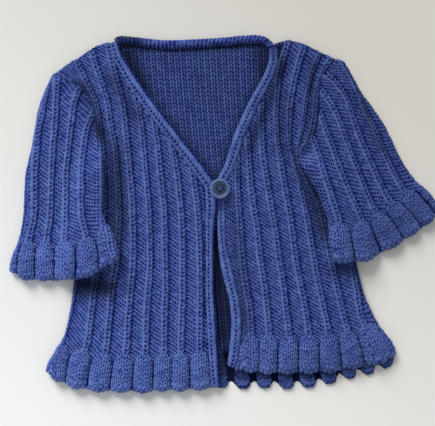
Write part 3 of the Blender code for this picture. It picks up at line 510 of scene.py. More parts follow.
def stitchTone(tree, place, read, table):
    # Read the table at a point: its plain tone less its gaps, as painted light and shade
    offset = addNode(tree, "Math", (read["number"],), operation="FRACT")
    ramp = addNode(tree, "ValToRGB", (offset,)).node
    stops = ramp.color_ramp.elements
    low, high = yarn["alongRange"]
    while len(stops) < len(table):
        stops.new(0.5)
    for stop, row in zip(stops, table):
        stop.position = row[0]
    for stop, row in zip(stops, table):
        isPurl = table is ribTones and purlRange[0] <= row[0] <= purlRange[1]
        stop.color = (row[1], row[2], (row[3] - low) / (high - low), float(isPurl))
    parts = addNode(tree, "SeparateColor", (ramp.outputs["Color"],)).node.outputs
    along = addNode(tree, "MapRange", (parts["Blue"], 0.0, 1.0, low, high))
    phase = addNode(tree, "Math", (read["course"], along), operation="ADD")
    fromGap = addNode(tree, "Math", (phase, 0.5), operation="PINGPONG")
    length = (fromGap, yarn["gapStart"], yarn["gapEnd"], 1.0, 0.0)
    gap = addNode(tree, "MapRange", length, interpolation_type="SMOOTHSTEP")
    noise = {"Vector": place, "Scale": 1000.0 / yarn["unevenGap"], "Detail": 1.0}
    uneven = addNode(tree, "MapRange", (addNode(tree, "TexNoise", noise), 0.35, 0.65, *yarn["unevenRange"]))
    depth = addNode(tree, "Math", (parts["Green"], uneven), operation="MULTIPLY")
    dark = addNode(tree, "Math", (gap, depth), operation="MULTIPLY")
    opened = addNode(tree, "Math", (parts["Red"], dark), operation="SUBTRACT")
    purl = addNode(tree, "Math", (parts["Red"], purlTone(tree, read, uneven)), operation="MULTIPLY")
    either = addNode(tree, "Mix", {0: ramp.outputs["Alpha"], 2: opened, 3: purl}, data_type="FLOAT")
    tone = addNode(tree, "Math", (either, yarn["deepTo"]), operation="MAXIMUM")
    counted = addNode(tree, "Mix", {0: read["ribbed"], 2: 1.0, 3: tone}, data_type="FLOAT")
    return addNode(tree, "Math", (read["light"], counted), operation="MULTIPLY", use_clamp=True)


def awayFromWindow(tree, place, near, far):
    # From 0 at the bright place to 1 at the dim one
    near, far = Vector(near), Vector(far)
    along = (far - near) / (far - near).length_squared
    aim = (place, (along.x, along.y, 0.0))
    share = addNode(tree, "VectorMath", aim, "Value", operation="DOT_PRODUCT")
    start = near.dot(along)
    return addNode(tree, "MapRange", (share, start, start + 1.0))


def yarnLook(tree, table):
    # Acrylic and wool double-knitting yarn: matt, softly hairy, with painted shade in the gaps between
    # stitches and painted light over the cloth
    place = addNode(tree, "TexCoord", output="Object")
    read = {key: addNode(tree, "Attribute", output="Fac", attribute_name=key) for key in toneNames}
    light = stitchTone(tree, place, read, table)
    coarse = {"Vector": place, "Scale": 1000.0 / yarn["mottle"], "Detail": 3.0, "Roughness": 0.6}
    fine = {"Vector": place, "Scale": 1000.0 / yarn["fibre"], "Detail": 2.0, "Roughness": 0.7}
    mottle, hair = (addNode(tree, "TexNoise", noise) for noise in (coarse, fine))
    share = addNode(tree, "MapRange", (hair, 0.45, 0.8, 0.0, yarn["hairShare"]))
    hairy = {0: share, 6: colour(yarn["lit"]), 7: colour(yarn["heather"])}
    tone = addNode(tree, "Mix", hairy, 2, data_type="RGBA")
    # Painted shade: the yarn colour passes to the turned, gap and deep colours as the painted light falls
    for key, start, end in (
        ("turned", yarn["turnedFrom"], yarn["turnedTo"]), ("gap", yarn["deepTo"], yarn["gapTo"]),
        ("deep", 0.0, yarn["deepTo"]),
    ):
        share = addNode(tree, "MapRange", (light, start, end))
        tone = addNode(tree, "Mix", {0: share, 6: colour(yarn[key]), 7: tone}, 2, data_type="RGBA")
    patchy = addNode(tree, "MapRange", (mottle, 0.3, 0.7, *yarn["mottleRange"]))
    # Painted light falling off away from the window, then the painted shade from the shade attribute
    away = awayFromWindow(tree, place, yarn["nearPlace"], yarn["farPlace"])
    falling = addNode(tree, "MapRange", (away, 0.0, 1.0, yarn["near"], yarn["far"]))
    strength = addNode(tree, "Math", (patchy, falling), operation="MULTIPLY")
    shaded = addNode(tree, "Math", (strength, read["shade"]), operation="MULTIPLY")
    mixing = {"data_type": "RGBA", "blend_type": "MULTIPLY"}
    bump = {"Strength": 0.5, "Distance": yarn["hairDepth"] * toMetres, "Height": hair}
    return {
        "Base Color": addNode(tree, "Mix", {0: 1.0, 6: tone, 7: shaded}, 2, **mixing),
        "Normal": addNode(tree, "Bump", bump), "Roughness": yarn["roughness"],
        "Sheen Weight": yarn["sheen"], "Sheen Roughness": 0.5, "Specular IOR Level": yarn["gloss"],
    }


ribYarn = makeMaterial("knitting_yarn_ribbed", yarnLook, ribTones)
insideYarn = makeMaterial("knitting_yarn_wrong_side", yarnLook, insideTones)
leftBandYarn = makeMaterial("knitting_yarn_left_band", yarnLook, leftBandTones)
rightBandYarn = makeMaterial("knitting_yarn_right_band", yarnLook, rightBandTones)
rollYarn = makeMaterial("knitting_yarn_neck_roll", yarnLook, rollTones)
print("yarn ready")


# Lines of the bands, which the body's edges follow

# Bands from the neck down, and the neck roll from left to right:
# middle line, width, underside and height
leftBand = {
    "line": (
        (-99.0, 154.0, 7.4, 3.4, 3.8), (-96.0, 142.0, 8.6, 3.4, 4.2),
        (-88.6, 128.7, 9.6, 3.4, 4.4), (-77.2, 110.7, 10.4, 3.4, 4.4),
        (-57.0, 83.7, 10.6, 3.4, 4.4), (-37.6, 58.6, 10.8, 3.4, 4.4),
        (-20.6, 36.4, 10.8, 4.6, 3.8), (-11.6, 20.6, 11.0, 6.6, 3.0),
        (-11.0, 6.3, 10.6, 6.6, 3.0), (-12.1, -10.0, 9.0, 4.2, 4.0),
        (-12.6, -28.8, 7.2, 3.4, 4.4), (-12.6, -63.0, 7.2, 3.4, 4.4),
        (-11.0, -96.3, 8.4, 3.4, 4.4), (-9.2, -129.6, 8.4, 3.4, 4.4),
        (-7.4, -157.0, 7.4, 3.4, 3.6),
    ),
    "stitch": 3.8, "flat": (0.011, 0.35),
}
rightBand = {
    "line": (
        (43.9, 148.6, 7.4, 3.4, 3.8), (44.6, 144.0, 7.8, 3.4, 4.0),
        (44.6, 138.6, 8.2, 3.4, 4.2), (42.6, 130.0, 8.6, 3.4, 4.4),
        (39.0, 121.0, 9.0, 3.4, 4.4), (26.6, 98.1, 9.4, 3.4, 4.4),
        (13.4, 68.0, 9.6, 3.4, 4.4), (5.0, 42.0, 9.4, 3.4, 3.6),
        (-2.4, 26.0, 8.4, 3.4, 2.8), (-2.8, 6.0, 7.6, 3.4, 2.8),
        (-2.2, -14.4, 7.6, 3.4, 3.6), (-1.4, -28.8, 7.2, 3.4, 4.4),
        (1.6, -45.9, 9.6, 3.4, 4.4), (5.4, -63.0, 9.4, 3.4, 4.4),
        (9.4, -80.0, 8.8, 3.4, 4.4), (11.2, -100.8, 9.2, 3.4, 4.4),
        (9.9, -118.8, 9.2, 3.4, 4.4), (8.2, -131.4, 9.0, 3.4, 4.0),
        (6.6, -138.6, 7.0, 3.4, 3.4),
    ),
    "stitch": 3.8, "flat": (0.011, 0.32),
}
neckRoll = {
    "line": (
        (-94.0, 156.2, 7.0, 0.3, 5.4), (-75.6, 154.2, 8.0, 0.3, 5.8),
        (-50.4, 151.8, 8.2, 0.3, 6.0), (-28.8, 152.7, 8.0, 0.3, 6.0),
        (-3.6, 154.2, 7.8, 0.3, 6.0), (17.1, 156.2, 7.8, 0.3, 6.0),
        (28.0, 156.8, 7.6, 0.3, 6.0), (35.6, 155.6, 7.2, 0.3, 5.8),
        (40.2, 152.6, 6.8, 0.3, 5.4),
    ),
    "before": (-97.5, 153.6, 6.6, 2.2, 5.4),       # sewn over the ends of the two bands
    "after": (45.0, 146.5, 6.6, 2.2, 5.8),
    "stitch": 3.6, "flat": (0.016, 0.135),
}
bandRun = {
    "step": 9.0,                    # as in the solid, so the edges sewn to it match
    "vStart": 18.0, "vHeights": (40.0, 80.0, 120.0, 156.0),
    "samplesAcross": 30, "samplesUp": 7, "endRound": 1.6,
    "inset": 0.3,                   # its surface before the stitches lies this far inside the solid's
}


def bandTracks(line):
    lengths = [0.0]
    for a, b in zip(line, line[1:]):
        lengths.append(lengths[-1] + math.hypot(b[0] - a[0], b[1] - a[1]))
    return [curveThrough(list(zip(lengths, values))) for values in zip(*line)], lengths[-1]


def bandMiddle(line):
    # The band's middle line at a height
    return straightThrough(sorted((point[1], point[0]) for point in line))


def bandTurn(tracks, s, whole):
    ahead = np.minimum(s + 1.0, whole)
    behind = np.maximum(s - 1.0, 0.0)
    return np.arctan2(tracks[1](ahead) - tracks[1](behind), tracks[0](ahead) - tracks[0](behind))


def bandEdge(line, hand):
    tracks, whole = bandTracks(line)
    stations = max(4, round(whole / bandRun["step"]))
    s = whole * np.arange(stations + 1) / stations
    turn = bandTurn(tracks, s, whole)
    reach = hand * (0.5 * tracks[2](s) + knit["edgeGap"])
    x = tracks[0](s) - np.sin(turn) * reach
    y = tracks[1](s) + np.cos(turn) * reach
    return list(zip(x.tolist(), y.tolist()))


# Body

leftFront = {
    "side": (                   # height and x
        (-161.1, -161.1), (-141.3, -159.8), (-123.3, -151.2), (-109.8, -143.1), (-87.3, -137.7),
        (-60.3, -133.7), (-22.5, -127.8), (16.2, -120.6), (56.7, -113.4), (79.2, -115.2),
        (97.2, -118.8), (108.0, -124.2), (117.9, -137.7), (125.1, -150.3), (151.2, -175.0),
    ),
    # height: place 0.2 near the side, then ribs one to seven
    "ribs": (
        (-158.0, -149.5, -136.0, -114.5, -94.0, -74.4, -56.3, -40.6, -23.2),
        (-136.0, -148.5, -131.5, -111.5, -92.0, -73.6, -56.2, -40.6, -23.4),
        (-118.0, -144.6, -125.6, -107.6, -89.5, -72.6, -56.0, -41.0, -24.2),
        (-98.0, -139.6, -122.6, -105.6, -88.5, -72.2, -55.8, -40.6, -24.3),
        (-70.0, -134.4, -119.0, -103.0, -86.0, -70.2, -54.6, -39.4, -23.3),
        (-40.0, -129.8, -115.0, -98.8, -83.9, -68.2, -55.1, -39.3, -23.5),
        (-4.0, -123.7, -111.5, -96.0, -84.2, -69.2, -55.9, -40.2, -25.4),
        (38.0, -116.0, -110.0, -97.4, -87.0, -72.2, -59.6, -44.9, -30.6),
        (60.0, -113.0, -111.2, -99.4, -88.9, -74.3, -61.3, -48.4, -35.0),
        (80.0, -114.7, -113.0, -103.6, -90.7, -76.3, -63.8, -51.6, -39.6),
        (97.0, -118.1, -115.8, -106.4, -92.9, -79.0, -66.4, -54.4, -43.0),
        (117.5, -136.5, -125.4, -112.6, -98.6, -82.8, -69.6, -57.4, -46.0),
        (135.5, -159.4, -134.6, -118.6, -103.0, -86.0, -72.4, -60.0, -48.2),
        (151.2, -174.3, -141.0, -122.6, -106.2, -89.0, -75.0, -62.0, -49.6),
    ),
    "hem": (
        (-162.0, -142.0), (-152.0, -150.5), (-133.0, -157.5), (-113.0, -160.2),
        (-84.6, -161.1), (-40.0, -160.2), (-11.0, -158.4),
    ),
    "shoulder": (
        (-150.3, 125.1), (-141.3, 132.3), (-128.7, 140.0), (-116.1, 148.8), (-103.6, 153.0),
    ),
    "armhole": (56.7, 125.1),       # heights of underarm and shoulder
    "columns": (-0.5, 7.5), "length": 318.0,
    "flat": (0.176, 0.318), "area": 0.045,
}

rightFront = {
    "side": (
        (-158.0, 158.5), (-145.8, 157.5), (-130.5, 155.7), (-117.0, 151.2), (-101.7, 139.5),
        (-72.9, 125.1), (-58.5, 121.5), (-9.9, 108.0), (27.9, 87.3), (54.9, 69.8), (63.0, 78.3),
        (74.7, 84.6), (97.2, 86.4), (115.2, 87.3), (126.9, 91.8), (136.8, 101.7), (155.7, 120.0),
    ),
    # height: ribs nought to six
    "ribs": (
        (-158.0, 22.6, 36.8, 56.0, 75.8, 95.6, 117.4, 140.6),
        (-140.0, 22.8, 37.6, 56.2, 75.2, 94.6, 115.6, 137.5),
        (-118.0, 22.8, 38.5, 56.5, 74.8, 93.4, 111.8, 130.5),
        (-105.0, 22.4, 38.0, 55.6, 73.6, 91.4, 108.6, 125.6),
        (-87.0, 21.0, 36.6, 53.8, 71.0, 87.7, 104.0, 119.6),
        (-63.0, 17.2, 34.0, 50.7, 66.4, 82.6, 98.7, 116.4),
        (-40.0, 14.6, 30.4, 47.0, 62.0, 78.4, 93.8, 112.6),
        (-15.0, 12.3, 27.4, 43.6, 58.8, 74.2, 89.4, 106.0),
        (5.0, 11.6, 24.2, 40.2, 55.8, 70.8, 84.8, 96.4),
        (28.0, 10.6, 21.4, 36.2, 51.8, 66.4, 74.6, 83.0),
        (54.9, 11.0, 20.4, 32.6, 47.8, 59.6, 65.4, 68.2),
        (63.0, 11.0, 19.8, 32.2, 46.6, 57.4, 66.4, 73.0),
        (86.0, 9.6, 17.0, 32.0, 45.2, 56.2, 70.6, 79.4),
        (104.0, 7.0, 15.8, 32.2, 46.1, 58.0, 73.0, 81.0),
        (122.0, 4.0, 16.8, 33.2, 47.0, 61.5, 76.4, 85.4),
        (140.0, 1.0, 19.0, 36.0, 51.2, 66.6, 82.7, 94.6),
        (155.7, -1.0, 21.0, 39.6, 55.8, 72.0, 89.4, 105.0),
    ),
    "hem": (
        (15.0, -142.5), (39.0, -144.0), (77.0, -144.0), (115.0, -140.4), (139.0, -135.9),
        (155.0, -128.0), (159.0, -121.0),
    ),
    "shoulder": (
        (52.6, 154.2), (58.5, 154.8), (72.9, 150.7), (87.8, 143.1), (101.7, 136.8),
    ),
    "armhole": (54.9, 136.8),
    "columns": (-0.5, 6.5), "length": 302.0,
    "flat": (0.165, 0.3), "area": 0.039,
}

back = {
    # height: two ribs that run up inside the V, and one at the right of the hem
    "sections": (
        (-160.0, -64.0, 76.5, 119.0), (-125.0, -64.0, 68.0, 104.0), (-60.0, -63.0, 55.0, 86.0),
        (0.0, -62.5, 46.0, 72.0), (54.0, -67.5, 40.0, 54.5), (100.0, -72.8, 37.2, 61.0),
        (155.0, -77.8, 35.2, 70.0),
    ),
    "hem": (
        (-161.0, -139.0), (-138.6, -150.3), (-111.6, -153.9), (-66.6, -156.6), (-8.1, -157.5),
        (38.7, -158.4), (79.2, -156.6), (102.6, -152.1), (124.2, -147.6), (144.9, -140.4),
        (158.0, -131.0),
    ),
    "columns": (-0.5, 15.5), "length": 318.0,
    "insideRise": 0.7,          # three knit columns above the purl column
    "scallop": 6.0,             # its hem runs this far up between two lobes
    "round": 0.12,              # and starts to, as a share of the repeat, this far from a lobe's middle
    "tongue": 0.34,             # half of a lobe's width at the hem, as a share of the repeat
    "crease": 0.13,             # half of the crease's width, as a share of the repeat
    "stitchDepth": 1.2, "tip": 5.0,             # of a tongue's stitches, and how far its bright tip runs
    # Painted shade on the tongues above their bright tips, and between two tongues
    "tonguePaintedShade": 0.4, "betweenPaintedShade": 0.62,     # how dark it is above that, and between two tongues
    "seenFrom": 3.5,            # the rib from which it shows
    "fineTo": 32.0, "neckFrom": 170.0,          # rows lie close up to here and from here
    # Painted shade on its inside beside the bands, under the roll and between them
    "shade": {                  # its inside is darker beside the bands, under the roll and between them
        "left": 0.35, "leftWidth": 8.0, "right": 0.3, "rightWidth": 6.0, "beside": 5.0,
        "roll": 0.7, "rollWidth": 3.2, "below": 3.5, "inside": 0.86,
        "between": 0.57, "closed": 2.0, "closedOver": 22.0, "hem": -106.0, "hemOver": 30.0, "hemLess": 0.75,
    },
    "flat": (0.35, 0.318), "area": 0.095,
}

aboveAll = 160.0                # a height above every neck and shoulder

# Soft folds in the fronts: two ends, width and rise
folds = (
    (-62.0, 62.0, -70.0, -30.0, 22.0, 1.8), (-92.0, 112.0, -84.0, 40.0, 16.0, 1.6),
    (60.0, 122.0, 50.0, 20.0, 13.0, 2.4), (30.0, 40.0, 44.0, -60.0, 16.0, 1.8),
    (70.0, 10.0, 82.0, -50.0, 12.0, 1.5),
)

# Painted shade where the cloth dips out of the light: two ends, width and depth
frontPaintedShades = (
    (-100.8, 78.0, -96.3, -46.0, 20.0, 0.5), (-142.0, -66.0, -90.0, -66.0, 22.0, 0.75),
    (66.0, 66.0, 97.0, -38.0, 16.0, 0.55), (86.0, -51.0, 124.0, -53.5, 14.0, 0.35),
    (5.5, 20.0, 23.0, -122.0, 12.0, 0.3), (60.0, 150.0, 16.0, 40.0, 10.0, 0.45),
    (54.9, 120.0, 50.4, 44.0, 14.0, 0.3), (80.0, 150.0, 77.4, 66.0, 10.0, 0.35),
    (-108.0, 134.0, -72.0, 72.0, 14.0, 0.35), (-134.0, 127.0, -106.0, 56.0, 14.0, 0.62),
    (49.0, 146.0, 52.0, 118.0, 8.0, 0.42), (75.0, 80.0, 78.0, 62.0, 8.0, 0.3),
    (8.0, 50.0, 16.0, 24.0, 9.0, 0.2), (17.0, -80.0, 22.0, -125.0, 7.0, 0.15),
    (-90.0, 45.0, -88.0, -30.0, 7.0, 0.2), (-142.0, -84.0, -148.0, -120.0, 9.0, -0.15),
    (-92.0, -30.0, -86.0, -80.0, 9.0, 0.3), (30.0, -148.0, 155.0, -130.0, 18.0, 0.14),
)
backPaintedShades = ((-90.0, 158.0, -72.0, 100.0, 19.0, 0.5), (30.0, 156.0, 39.0, 112.0, 13.0, 0.4))


def innerEdgeGuide(edge, ribGuide, beyond):
    low = sorted((y, x) for x, y in edge if y < bandRun["vStart"])
    high = [(y, float(ribGuide(y)) + beyond) for y in bandRun["vHeights"]]
    return curveThrough(low + high)


def leftFrontPlace():
    side, ribs = guidesOf(leftFront["side"]), guidesOf(leftFront["ribs"])
    inner = innerEdgeGuide(bandEdge(leftBand["line"], -1.0), ribs[-1], 7.0)
    return acrossGuides((-0.5, 0.2, 1.0, 2.0, 3.0, 4.0, 5.0, 6.0, 7.0, 7.5), (*side, *ribs, inner))


def rightFrontPlace():
    side, ribs = guidesOf(rightFront["side"]), guidesOf(rightFront["ribs"])
    inner = innerEdgeGuide(bandEdge(rightBand["line"], 1.0), ribs[0], -9.2)
    return acrossGuides((-0.5, 0.0, 1.0, 2.0, 3.0, 4.0, 5.0, 6.0, 6.5), (inner, *ribs, *side))


def backPlace():
    sides = guidesOf(leftFront["side"]) + guidesOf(rightFront["side"])
    ribs = guidesOf(back["sections"])
    return acrossGuides((-0.5, 4.0, 11.0, 13.0, 15.5), (sides[0], *ribs, sides[1]))


def leftFrontTop():
    edge = bandEdge(leftBand["line"], -1.0)
    return list(leftFront["shoulder"]) + sorted(p for p in edge if p[1] > bandRun["vStart"] and p[0] > -103.0)


def rightFrontTop():
    edge = []
    for point in sorted(bandEdge(rightBand["line"], 1.0), key=lambda point: point[1]):
        if point[1] > bandRun["vStart"] and (not edge or point[0] > edge[-1][0]):
            edge.append(point)
    return edge + list(rightFront["shoulder"])


def backTopLine():
    neck = sorted(bandEdge(neckRoll["line"], -1.0))
    return list(leftFront["shoulder"]) + neck + list(rightFront["shoulder"])


def lobeForm(number, distance, crestHeight, wide):
    # The hollow lobe under each rib: place across it, share of the ruffle, height, how far a point
    # is in the lobe and in the notch between two
    offset = wrapped(number - ruffle["shift"])
    opening = np.sqrt(np.clip((ruffle["length"] - distance) / ruffle["arch"], 0.0, 1.0))
    half = ruffle["narrow"] + (wide - ruffle["narrow"]) * opening
    across = np.abs(offset) / half
    crown = np.clip(1.0 - across ** 2.3, 0.0, 1.0) ** 0.6
    share = smoothStep((ruffle["length"] + 2.0 - distance) / 5.0)
    ribTop = knit["wall"] + knit["ribRise"]
    swell = smoothStep((ruffle["length"] - distance) / ruffle["swell"])
    crest = ribTop + (crestHeight - ribTop) * swell
    fall = smoothStep((ruffle["length"] - 2.0 - distance) / ruffle["notch"])
    valley = knit["wall"] + (ruffle["valley"] - knit["wall"]) * fall
    height = valley + (crest - valley) * crown
    edge = 0.55 + 0.45 * smoothStep(distance / 3.0)
    inside = smoothStep((1.03 - across) / 0.16)
    return offset, share, height * edge, inside, fall


def castOn(number, distance):
    # The cast-on edge: knobs along it, and lobes of different lengths
    lobe = np.floor(number - ruffle["shift"] + 0.5)
    near = smoothStep((ruffle["knotted"] - distance) / ruffle["knotted"])
    knobs = ruffle["knob"] * (beads(number * ruffle["knobs"]) - 0.5) * near
    return ruffle["uneven"] * (speckle(lobe, lobe, 7.0) - 0.5) - knobs


# A hand's unevenness: slow wander and from stitch to stitch, first across in repeats, then along
# in rows. The last two set where each pattern starts.
outsideHand = (0.016, 0.02, 0.14, 0.16, 1.0, 11.0)
insideHand = (0.006, 0.008, 0.1, 0.14, 3.0, 15.0)


def handKnitted(number, distance, x, y, hand, steady=1.0):
    slow, quick, slowRow, quickRow, seed, stitchSeed = hand
    stitch, row = 3.0 * number, distance / knit["course"]
    number = number + steady * (slow * waver(x, y, seed) + quick * mixed(stitch, row, stitchSeed))
    course = row + slowRow * waver(x, y, seed + 1.0) + quickRow * mixed(1.3 * stitch, row, stitchSeed + 1.0)
    return stitch, row, number, course


def outsideCloth(number, distance, x, y, gauge):
    # Right side of the cloth: height above the wall's underside, relief and tones
    steady = np.clip(knit["repeat"] / gauge, 0.2, 1.0)
    stitch, row, number, course = handKnitted(number, distance, x, y, outsideHand, steady)
    counted, column = gauged(number, gauge)
    rise, relief = ribStitches(counted, course, column)
    height = knit["wall"] + knit["ribRise"] * rise
    offset, share, lobeHeight, inside, fall = lobeForm(number, distance, ruffle["crest"], ruffle["wide"])
    spread = offset / ruffle["wide"]
    finer = np.clip(gauge / knit["repeat"], 1.0, 2.4)
    wale = finer * ruffle["stitches"] * (0.8 * spread + 0.2 * spread ** 3) + 0.2 * mixed(stitch, row, 18.0)
    lobeCourse = course + 0.22 * mixed(1.4 * stitch, row, 19.0)
    lobeRelief, lobeLight = stockinette(wale, lobeCourse, ruffle["depth"])
    knots = smoothStep((ruffle["knotted"] - distance) / 2.0)
    line = distance / ruffle["knot"]
    knot = beads(number * ruffle["knobs"] + 0.5 * np.floor(line)) * beads(line)
    lobeRelief = blend(knots, lobeRelief, 1.2 * knot)
    lobeLight = blend(knots, lobeLight, np.clip(0.1 + knot, 0.0, 0.85))
    height = blend(share, height, lobeHeight)
    notch = (1.0 - inside) * (1.0 - fall)
    relief = blend(share, relief, inside * lobeRelief + notch * relief)
    ribbed = 1.0 - share * (1.0 - notch)
    # Painted light of the lobes' stitches and painted shade between two lobes
    gapLight, topLight = ruffle["stitchLight"]
    between = ruffle["betweenLight"] * (1.0 - inside) + notch
    light = blend(share, 1.0, inside * (gapLight + topLight * lobeLight) + between)
    relief = relief * (1.0 + 0.25 * mixed(1.7 * stitch, 1.3 * row, 13.0))
    # Painted shade: breaks along the rib's bright leg between its stitches
    leg = ribbed * np.exp(-(wrapped(counted) / 0.09) ** 2)
    light = light * (1.0 - 0.34 * leg * (1.0 - beads(course + 5.0 * wrapped(counted))))
    light = light * (0.95 + 0.25 * mixed(1.7 * stitch, 1.5 * row, 14.0))
    return height, relief, np.stack((light, counted, course, ribbed, column, np.ones_like(number)))


def paintedShadeUnderBands(x, y):
    # Painted shade: how light the back's inside is beside and below the bands, which lie well above it
    besideLeft = x - bandMiddle(leftBand["line"])(y)
    besideRight = bandMiddle(rightBand["line"])(y) - x
    belowRoll = straightThrough([point[:2] for point in neckRoll["line"]])(x) - y
    shade = back["shade"]
    atHem = smoothStep((shade["hem"] - y) / shade["hemOver"])
    deep = 1.0 - shade["hemLess"] * atHem
    left = np.exp(-((besideLeft - shade["beside"]) / shade["leftWidth"]) ** 2)
    right = np.exp(-((besideRight - shade["beside"]) / shade["rightWidth"]) ** 2)
    roll = np.exp(-((belowRoll - shade["below"]) / shade["rollWidth"]) ** 2)
    light = (shade["inside"] - deep * shade["left"] * left) * (1.0 - deep * shade["right"] * right)
    low = smoothStep((y - shade["closed"]) / shade["closedOver"]) + atHem
    return light * (1.0 - shade["roll"] * roll) * (shade["between"] + (1.0 - shade["between"]) * low)


def insideCloth(number, distance, x, y, gauge):
    # Wrong side of the back, seen in the opening. It keeps its gauge.
    stitch, row, number, course = handKnitted(number, distance, x, y, insideHand)
    wales = 3.0 * number            # three knit columns to a repeat, the purl lost in the crease between
    relief = knitStitches(wales - np.floor(wales), course, insideLegs, insideHoles)
    crease = np.abs(wrapped(number - 0.5)) / back["crease"]
    height = knit["wall"] + back["insideRise"] * smoothStep(crease)
    offset, share, lobeHeight, inside = lobeForm(number, distance, knit["backTop"], back["tongue"])[:4]
    height = blend(share, height, lobeHeight)
    wale = ruffle["stitches"] * offset / back["tongue"] + 0.2 * mixed(stitch, row, 20.0)
    lobeCourse = course + 0.3 * mixed(1.4 * stitch, row, 21.0)
    lobeRelief, lobeLight = stockinette(wale, lobeCourse, back["stitchDepth"])
    relief = blend(share, relief, blend(inside, 0.4, 1.0) * lobeRelief)
    # Painted light of the tongues' stitches, painted shade between two tongues and above their tips, and
    # painted shade under the bands
    light = blend(share, 1.0, (0.05 + lobeLight) * blend(inside, 0.45, 1.0))
    light = light * (0.92 + 0.18 * mixed(1.7 * stitch, 1.5 * row, 17.0))
    tip = back["tip"]
    within = back["tonguePaintedShade"] * inside * smoothStep((distance - tip) / tip)
    shade = (1.0 - share * (back["betweenPaintedShade"] * (1.0 - inside) + within)) * paintedShadeUnderBands(x, y)
    return height, relief, np.stack((light, wales, course, 1.0 - share, 0.0 * number, shade))


def sewnAlong(name, piece, sideSign, y):
    # A front is sewn to its band all along and to its sleeve above the underarm
    if name == "back":
        return 0.0 * y
    towardsBand = sideSign < 0 if name == "front_left" else sideSign > 0
    return np.where(towardsBand, 1.0, smoothStep((y - piece["armhole"][0]) / 6.0))


def flatPanel(name, piece, place, topLine, heights, base, numbers, rows, material, fineRows=0):
    first, last = piece["columns"]
    hemOf = curveThrough(piece["hem"])
    topOf = straightThrough(topLine)
    radius = knit["edgeRound"]
    turns = edgeTurns()
    count = len(turns)
    columns = np.concatenate((np.full(count, first), numbers, np.full(count, last)))
    plain = np.zeros(len(numbers))
    sideTurn, sideRun = (
        np.concatenate(([t[k] for t in turns], plain, [t[k] for t in turns[::-1]])) for k in (0, 1)
    )
    sideSign = np.where(np.arange(len(columns)) < count, 1.0, -1.0)

    hem = hemOf(place(columns, piece["hem"][len(piece["hem"]) // 2][1]))
    hem = hemOf(place(columns, hem))
    start = hem + ruffle["length"]
    top = firstCrossing(lambda y: y < topOf(place(columns + 0.0 * y, y)), start, aboveAll)
    top = top + knit["sewnOver"]
    stretch = (aboveAll - start) / (piece["length"] - ruffle["length"])
    farEnd = ruffle["length"] + (top - start) / stretch
    distance, level, rowDrop, rowShare = clothRows(farEnd, rows)

    opened = smoothStep((ruffle["length"] - distance) / ruffle["arch"])
    fromLobe = np.abs(wrapped(columns - ruffle["shift"])) - piece.get("round", 0.0)
    scallop = piece.get("scallop", ruffle["scallop"]) * smoothStep(fromLobe / 0.36)
    y = start + (distance - ruffle["length"]) * stretch
    y = np.where(distance < ruffle["length"], hem + distance, y)
    y = y + (scallop + castOn(columns, distance)) * opened
    x = place(columns + 0.0 * y, y)
    beyond = knit["sewnOver"] * smoothStep((y - start) / 10.0)
    lowest = place(first + 0.0 * y, y) + radius - beyond
    highest = place(last + 0.0 * y, y) - radius + beyond
    x = np.clip(x, lowest, highest)
    x = x + sideSign * np.where(sideTurn > 0, sideRun - radius * np.sin(sideTurn), 0.0)
    sideShare = np.array([turnedShare(turn, run) for turn, run in zip(sideTurn, sideRun)])
    free = 1.0 - (1.0 - knit["sewnSoft"]) * sewnAlong(name, piece, sideSign, y)
    sideDrop = radius * (1.0 - np.cos(sideTurn)) * free
    share = rowShare * (1.0 - (1.0 - sideShare) * free)

    gauge = (place(columns + 0.02, y) - place(columns - 0.02, y)) / 0.04
    height, relief, tones = heights(columns + 0.0 * y, level, x, y, gauge)
    z = base + height - turnedDrop(np.maximum(rowDrop, sideDrop), height)
    if name != "back":
        z = z + foldRise(x, y)
    points = np.stack((x, y, z), axis=2)
    points = layCloth(points, relief * share, share, tones, backPaintedShades if name == "back" else frontPaintedShades)
    knitPiece(name, points, tones, material, fineRows)


def makeBody():
    samples = 2 * knit["samplesAcross"]
    for name, piece, place, topLine in (
        ("front_left", leftFront, leftFrontPlace(), leftFrontTop()),
        ("front_right", rightFront, rightFrontPlace(), rightFrontTop()),
    ):
        flatPanel(
            name, piece, place, topLine, outsideCloth, knit["frontUnder"],
            evenNumbers(*piece["columns"], samples), np.arange(0.0, piece["length"] + rowStep, rowStep),
            ribYarn, ruffleRows,
        )
    (first, last), seen = back["columns"], back["seenFrom"]
    hidden = evenNumbers(first, seen, knit["samplesUnder"])[:-1]
    numbers = (hidden, evenNumbers(seen, last, knit["samplesAcross"]))
    fineTo, neckFrom = back["fineTo"], back["neckFrom"]
    rows = (
        np.arange(0.0, fineTo, rowStep), np.arange(fineTo, neckFrom, knit["course"]),
        np.arange(neckFrom, back["length"] + 1.0, 0.25 * knit["course"]),
    )
    flatPanel(
        "back", back, backPlace(), backTopLine(), insideCloth, 0.0, np.concatenate(numbers),
        np.concatenate(rows), insideYarn,
    )


makeBody()
print("body knitted")


# Sleeves

